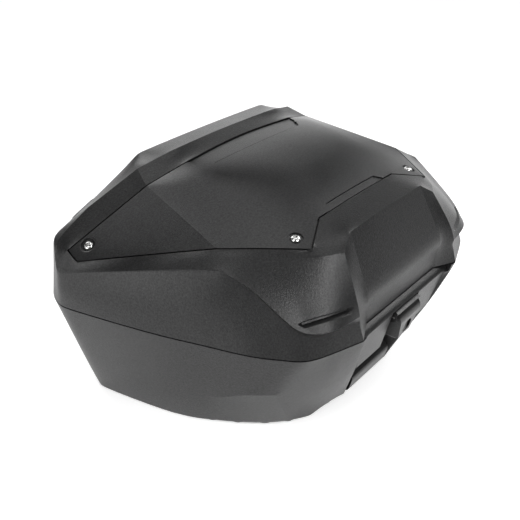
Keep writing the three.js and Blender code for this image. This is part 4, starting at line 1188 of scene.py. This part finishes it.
def make_seal():
    """A rubber seal with a rounded top that stands proud of its groove."""
    top = LID_BOTTOM - 0.3
    section = [(-1.5, SEAL_FLOOR + 0.3), (1.5, SEAL_FLOOR + 0.3), (1.5, top - 1.3), (1.15, top - 0.5),
               (0.5, top), (-0.5, top), (-1.15, top - 0.5), (-1.5, top - 1.3)]
    seal = band_along("seal", SEAL_HALF, section)
    return finished(shaded(seal), "rim_seal_piece", "base", "rubber", "rim_seal")


def make_mat():
    """The rubber mat on the base's floor, with a raised rim and ribs across it."""
    z0 = FLOOR + 0.3
    outline = fillet(whole_loop(MAT_HALF), 12)
    mat = slab_z("mat", outline, z0, z0 + 3)
    inner = fillet([(x * 0.965, 24 + (y - 24) * 0.955) for x, y in whole_loop(MAT_HALF)], 12)
    channels = slab_z("channels", inner, z0 + 1.7, z0 + 9)
    for x in range(-216, 217, 12):
        cut(channels, block("rib", (x - 2.2, -140, z0 + 1), (x + 2.2, 180, z0 + 10)))
    cut(mat, channels)
    return finished(shaded(eased(mat, 0.35, 40, 2)), "floor_mat", "base", "rubber", "base_mat")


# ---------- hinges ----------
def hinge_screw(place, body, node):
    """A smaller button screw that holds a hinge leaf."""
    screw = button_screw("screw", place, (0, 1, 0), 0)
    shrink = Matrix.Diagonal((2 / 3, 2 / 3, 2 / 3, 1))
    centre = Vector((place[0], place[1] + BOX_CENTRE_SHIFT, place[2])) / 1000
    screw.data.transform(Matrix.Translation(centre) @ shrink @ Matrix.Translation(-centre))
    return finished(screw, node + "_piece", body, "bright_zinc", node)


def hinge_leaf(side, x, body, direction, spans):
    """One leaf with its knuckles and screws. It reaches up for the lid and down for the base."""
    wall = HINGE_Y - KNUCKLE_RADIUS
    low, high = sorted((PARTING_Z + direction * 7, PARTING_Z + direction * LEAF_REACH))
    outline = fillet(rectangle(x - LEAF_HALF, x + LEAF_HALF, low, high), 4)
    leaf = slab_y("leaf", outline, wall, wall + LEAF_THICKNESS)
    arm_low, arm_high = sorted((PARTING_Z, PARTING_Z + direction * 9))
    for a, b in spans:
        arm = block("arm", (x + a, wall, arm_low), (x + b, HINGE_Y, arm_high))
        knuckle = rod_x("knuckle", KNUCKLE_RADIUS, x + a, x + b, HINGE_Y, PARTING_Z, 48, 0.01)
        joined(leaf, arm, knuckle)
    holes = [rod_x("bore", HINGE_BORE_RADIUS, x - 40, x + 40, HINGE_Y, PARTING_Z)]
    for i, dx in enumerate((-LEAF_SCREW_OFFSET, LEAF_SCREW_OFFSET)):
        place = (x + dx, wall + LEAF_THICKNESS, PARTING_Z + direction * LEAF_SCREW_REACH)
        holes.append(placed(slab_z("hole", circle(2.3, 32), -8, 8), place, (0, 1, 0)))
        hinge_screw(place, body, f"hinge_{body}_screw_{side}_{i + 1}")
    cut(leaf, *holes)
    node = f"hinge_{body}_leaf_{side}"
    return finished(shaded(eased(leaf, 0.4)), node + "_piece", body, "steel", node)


def make_hinge(side, x):
    """Both leaves, their screws and the pin of one hinge."""
    hinge_leaf(side, x, "base", -1, [(-28, -12.5), (12.5, 28)])
    hinge_leaf(side, x, "lid", 1, [(-12, 12)])
    pin = rod_x("pin", HINGE_PIN_RADIUS, x - 30, x + 30, HINGE_Y, PARTING_Z, 40, 0.7)
    finished(shaded(pin), f"hinge_pin_{side}_piece", "base", "bright_zinc", f"hinge_pin_{side}")


# ---------- latch ----------
def panel_y(z):
    """Where the flat behind the latch is, at a height."""
    return -148 - (z - 50) * (33 / 96)


def shield(name, stations, profile, radius=2.5):
    """A plate seen from the rear, from half widths at given heights, within a side profile."""
    outline = [(half, z) for half, z in stations] + [(-half, z) for half, z in reversed(stations)]
    plate = slab_y(name, fillet(outline, radius), -210, -120)
    return common(plate, slab_x("side", profile, -60, 60))


def shield_stations(grow, bottom, top):
    """Half widths of the latch's shield at a few heights, all wider by one amount."""
    return [(9 + grow, bottom), (12.5 + grow, bottom + 3), (14.5 + grow, bottom + 9), (25.5 + grow, top - 11),
            (26 + grow, top - 3), (24 + grow, top)]


LOCK_Y = -194.5
LOCK_Z = 112.0
LOCK_AXIS = (0, -1, 0.22)
LOCK_RADIUS = 7.5
BEZEL_RADIUS = 9.5


def in_lock(obj):
    return placed(obj, (0, LOCK_Y, LOCK_Z), LOCK_AXIS)


def make_latch_housing():
    """The plate behind the lever, with a hood over it and a cheek on each side that carries its pin."""
    profile = [(panel_y(144.6) - 3, 146.4), (-192, 146.2), (-197, 145.3), (-200.4, 144), (-200.4, 143.9),
               (-186.5, 143.9), (-172.5, 90), (-169, 88), (panel_y(88) - 0.8, 88)]
    housing = shield("housing", shield_stations(3.2, 88, 146.4), profile)
    cheek = fillet([(-198, 132), (-183.5, 128), (-181, 144.8), (-198.6, 144.4)], 1)
    joined(housing, slab_x("cheek", cheek, 26.8, 29.2), slab_x("cheek", cheek, -29.2, -26.8))
    cut(housing, rod_x("bore", LEVER_BORE, -60, 60, *LEVER_PIVOT))
    eased(housing, 0.3, 30, 2)
    return finished(shaded(housing), "latch_housing_piece", "base", "trim_plastic", "latch_housing")


def make_lever():
    profile = fillet([(-189.5, 141.4), (-192, 142.9), (-195.5, 143), (-198.5, 141.6), (-202.2, 137),
                      (-203.6, 131), (-196, 99), (-192, 94.5), (-180, 93.5), (-175.2, 96),
                      (-186.5, 138.5)], 3)
    lever = shield("lever", shield_stations(0, 92, 144), profile)
    seat = in_lock(slab_z("seat", circle(BEZEL_RADIUS + 0.3, 64), -3, 20))
    bore = in_lock(slab_z("bore", circle(LOCK_RADIUS + 0.3, 64), -12, 5))
    cut(lever, rod_x("bore", LEVER_BORE, -60, 60, *LEVER_PIVOT), seat, bore)
    return finished(shaded(eased(lever, 0.9, 24)), "lever_piece", "lever", "trim_plastic", "latch_lever")


def make_lock():
    """The lock's dark ring, and its cylinder with a keyhole behind a raised rim."""
    ring = revolve("ring", [(LOCK_RADIUS + 0.3, -2.7), (BEZEL_RADIUS - 0.2, -2.7), (BEZEL_RADIUS, -2.5),
                            (BEZEL_RADIUS, 0.5), (BEZEL_RADIUS - 0.6, 1.1), (BEZEL_RADIUS - 1.3, 1.2),
                            (LOCK_RADIUS + 0.4, 0.6), (LOCK_RADIUS + 0.3, 0.3),
                            (LOCK_RADIUS + 0.3, -2.7)], 72)
    finished(shaded(in_lock(ring), 40), "lock_ring", "lever", "trim_plastic", "lock_bezel")
    cylinder = revolve("cylinder", [(0, -11), (LOCK_RADIUS - 0.3, -11), (LOCK_RADIUS, -10.7),
                                    (LOCK_RADIUS, 0.3), (LOCK_RADIUS - 0.5, 0.8), (LOCK_RADIUS - 1.4, 0.8),
                                    (LOCK_RADIUS - 1.8, 0.2), (0, 0.1)], 72)
    keyhole = slab_z("keyhole", fillet(rectangle(-0.9, 0.9, -3.6, 3.6), 0.8), -3, 3)
    mark = slab_z("mark", fillet(rectangle(-0.35, 0.35, 4.2, 5.4), 0.2), -0.4, 3)
    cut(cylinder, keyhole, mark)
    return finished(shaded(in_lock(cylinder), 40), "lock_core", "lock", "steel", "lock_cylinder")


# ---------- release handle ----------
def make_handle():
    """The bar that a finger pulls outward to free the case. It turns on a pin along its upper edge."""
    profile = fillet([(-137, 39), (-147, 35), (-151.5, 29), (-151.5, 25), (-146.5, 7), (-142, 3.4),
                      (-137.5, 5), (-137, 11), (-141, 25), (-139, 29), (-129.8, 27.5), (-127.8, 31),
                      (-129, 36)], 3)
    handle = slab_x("handle", profile, -47, 47)
    cut(handle, rod_x("bore", 2.3, -60, 60, -131, 33))
    eased(handle, 1.1, 24)
    return finished(shaded(handle), "release_handle_piece", "handle", "trim_plastic", "release_handle")


# ---------- small steel and trim pieces kept close to the CAD shapes ----------
SMALL_PIECES = [
    ("latch_lever_pin", "base", "steel", 0.3), ("latch_hook", "hook", "steel", 0.5),
    ("latch_hook_pin", "base", "steel", 0.3), ("latch_hook_frame", "base", "trim_plastic", 0.4),
    ("lid_striker", "lid", "steel", 0.5), ("release_handle_pin", "base", "steel", 0.3),
    ("carrier_bolt", "bolt", "steel", 0.6),
]


def make_small_pieces():
    for node, body, slot, easing in SMALL_PIECES:
        finished(shaded(eased(copied(node), easing, 35)), node + "_piece", body, slot, node)


# ---------- assembly ----------
make_lid_shell()
make_cover_panel()
make_front_cover()
for screw_name, screw_point, screw_normal in each_screw():
    cover_screw = button_screw("screw", screw_point, screw_normal, SCREW_WELL_DEPTH - 0.3)
    screw_node = f"cover_screw_{screw_name}"
    finished(cover_screw, screw_node + "_piece", "lid", "bright_zinc", screw_node)
make_base_shell()
make_seal()
make_mat()
for hinge_side, hinge_x in (("left", -HINGE_X), ("right", HINGE_X)):
    make_hinge(hinge_side, hinge_x)
make_latch_housing()
make_lever()
make_lock()
make_handle()
make_small_pieces()


# ---------- floor, light and camera ----------
# The floor's glow is painted light: weak within about a metre of the case, so that the lower base reflects a
# darker floor, and full far out.
FLOOR_GLOW_NEAR = 0.5
FLOOR_GLOW_MIDDLE = 0.2
FLOOR_GLOW_FAR = 1.0
LIGHT_DISTANCE = 2.4
LIGHT_TARGET = Vector((0, 0, 0.15))

# Soft boxes: each one's side and height, both in degrees, then its width in metres and its power.
SOFT_BOXES = {
    "rear_high": (-98, 38, 1.0, 29), "left_low": (168, 10, 1.3, 15), "left_high": (184, 47, 0.9, 15),
    "front_high": (79, 36, 1.2, 18), "overhead": (39, 80, 1.4, 12), "right_low": (0, 12, 1.3, 8),
    "front_right_low": (42, 12, 1.4, 11), "right_high": (-20, 42, 1.1, 24),
    "front_left_low": (129, 10, 1.3, 5),
}


def make_floor():
    n = Nodes("floor")
    n.join(n.tint(n.noise(3, 3), (0.86, 0.86, 0.86), (0.9, 0.9, 0.9)), n.shader.inputs["Base Color"])
    n.shader.inputs["Roughness"].default_value = 0.8
    n.shader.inputs["Emission Color"].default_value = (1, 1, 1, 1)
    away = n.add("ShaderNodeVectorMath", operation="LENGTH")
    n.join(n.place, away.inputs[0])
    inner = n.span(away.outputs["Value"], 0.3, 1.0, FLOOR_GLOW_NEAR, FLOOR_GLOW_MIDDLE)
    outer = n.span(away.outputs["Value"], 1.2, 3.4, FLOOR_GLOW_MIDDLE, FLOOR_GLOW_FAR)
    n.join(n.math("MAXIMUM", inner, outer), n.shader.inputs["Emission Strength"])
    mesh = bpy.data.meshes.new("floor")
    reach = 12.0
    mesh.from_pydata([(-reach, -reach, 0), (reach, -reach, 0), (reach, reach, 0), (-reach, reach, 0)], [],
                     [(0, 1, 2, 3)])
    floor = link(bpy.data.objects.new("floor", mesh))
    mesh.materials.append(n.material)
    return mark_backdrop(floor)


def soft_box(name, azimuth, elevation, width, power):
    data = bpy.data.lights.new(name, "AREA")
    data.shape = "SQUARE"
    data.size = width
    data.energy = power
    lamp = link(bpy.data.objects.new(name, data))
    turn = math.radians(azimuth)
    rise = math.radians(elevation)
    away = Vector((math.cos(turn) * math.cos(rise), math.sin(turn) * math.cos(rise), math.sin(rise)))
    lamp.location = LIGHT_TARGET + away * LIGHT_DISTANCE
    lamp.rotation_euler = away.to_track_quat("Z", "Y").to_euler()
    return lamp


def make_world(strength):
    world = bpy.data.worlds.new("studio")
    bpy.context.scene.world = world
    world.use_nodes = True
    background = world.node_tree.nodes["Background"]
    background.inputs["Color"].default_value = (1, 1, 1, 1)
    background.inputs["Strength"].default_value = strength


def make_camera():
    data = bpy.data.cameras.new("camera")
    data.lens = 51.8
    data.sensor_width = 36
    camera = link(bpy.data.objects.new("camera", data))
    camera.location = (-0.7456, -0.5579, 0.675)
    camera.rotation_euler = (math.radians(60), 0, math.radians(-51.03))
    bpy.context.scene.camera = camera


make_floor()
make_world(0.01)
for box_name, box_values in SOFT_BOXES.items():
    soft_box(box_name, *box_values)
make_camera()
bpy.context.scene.view_settings.view_transform = "Standard"
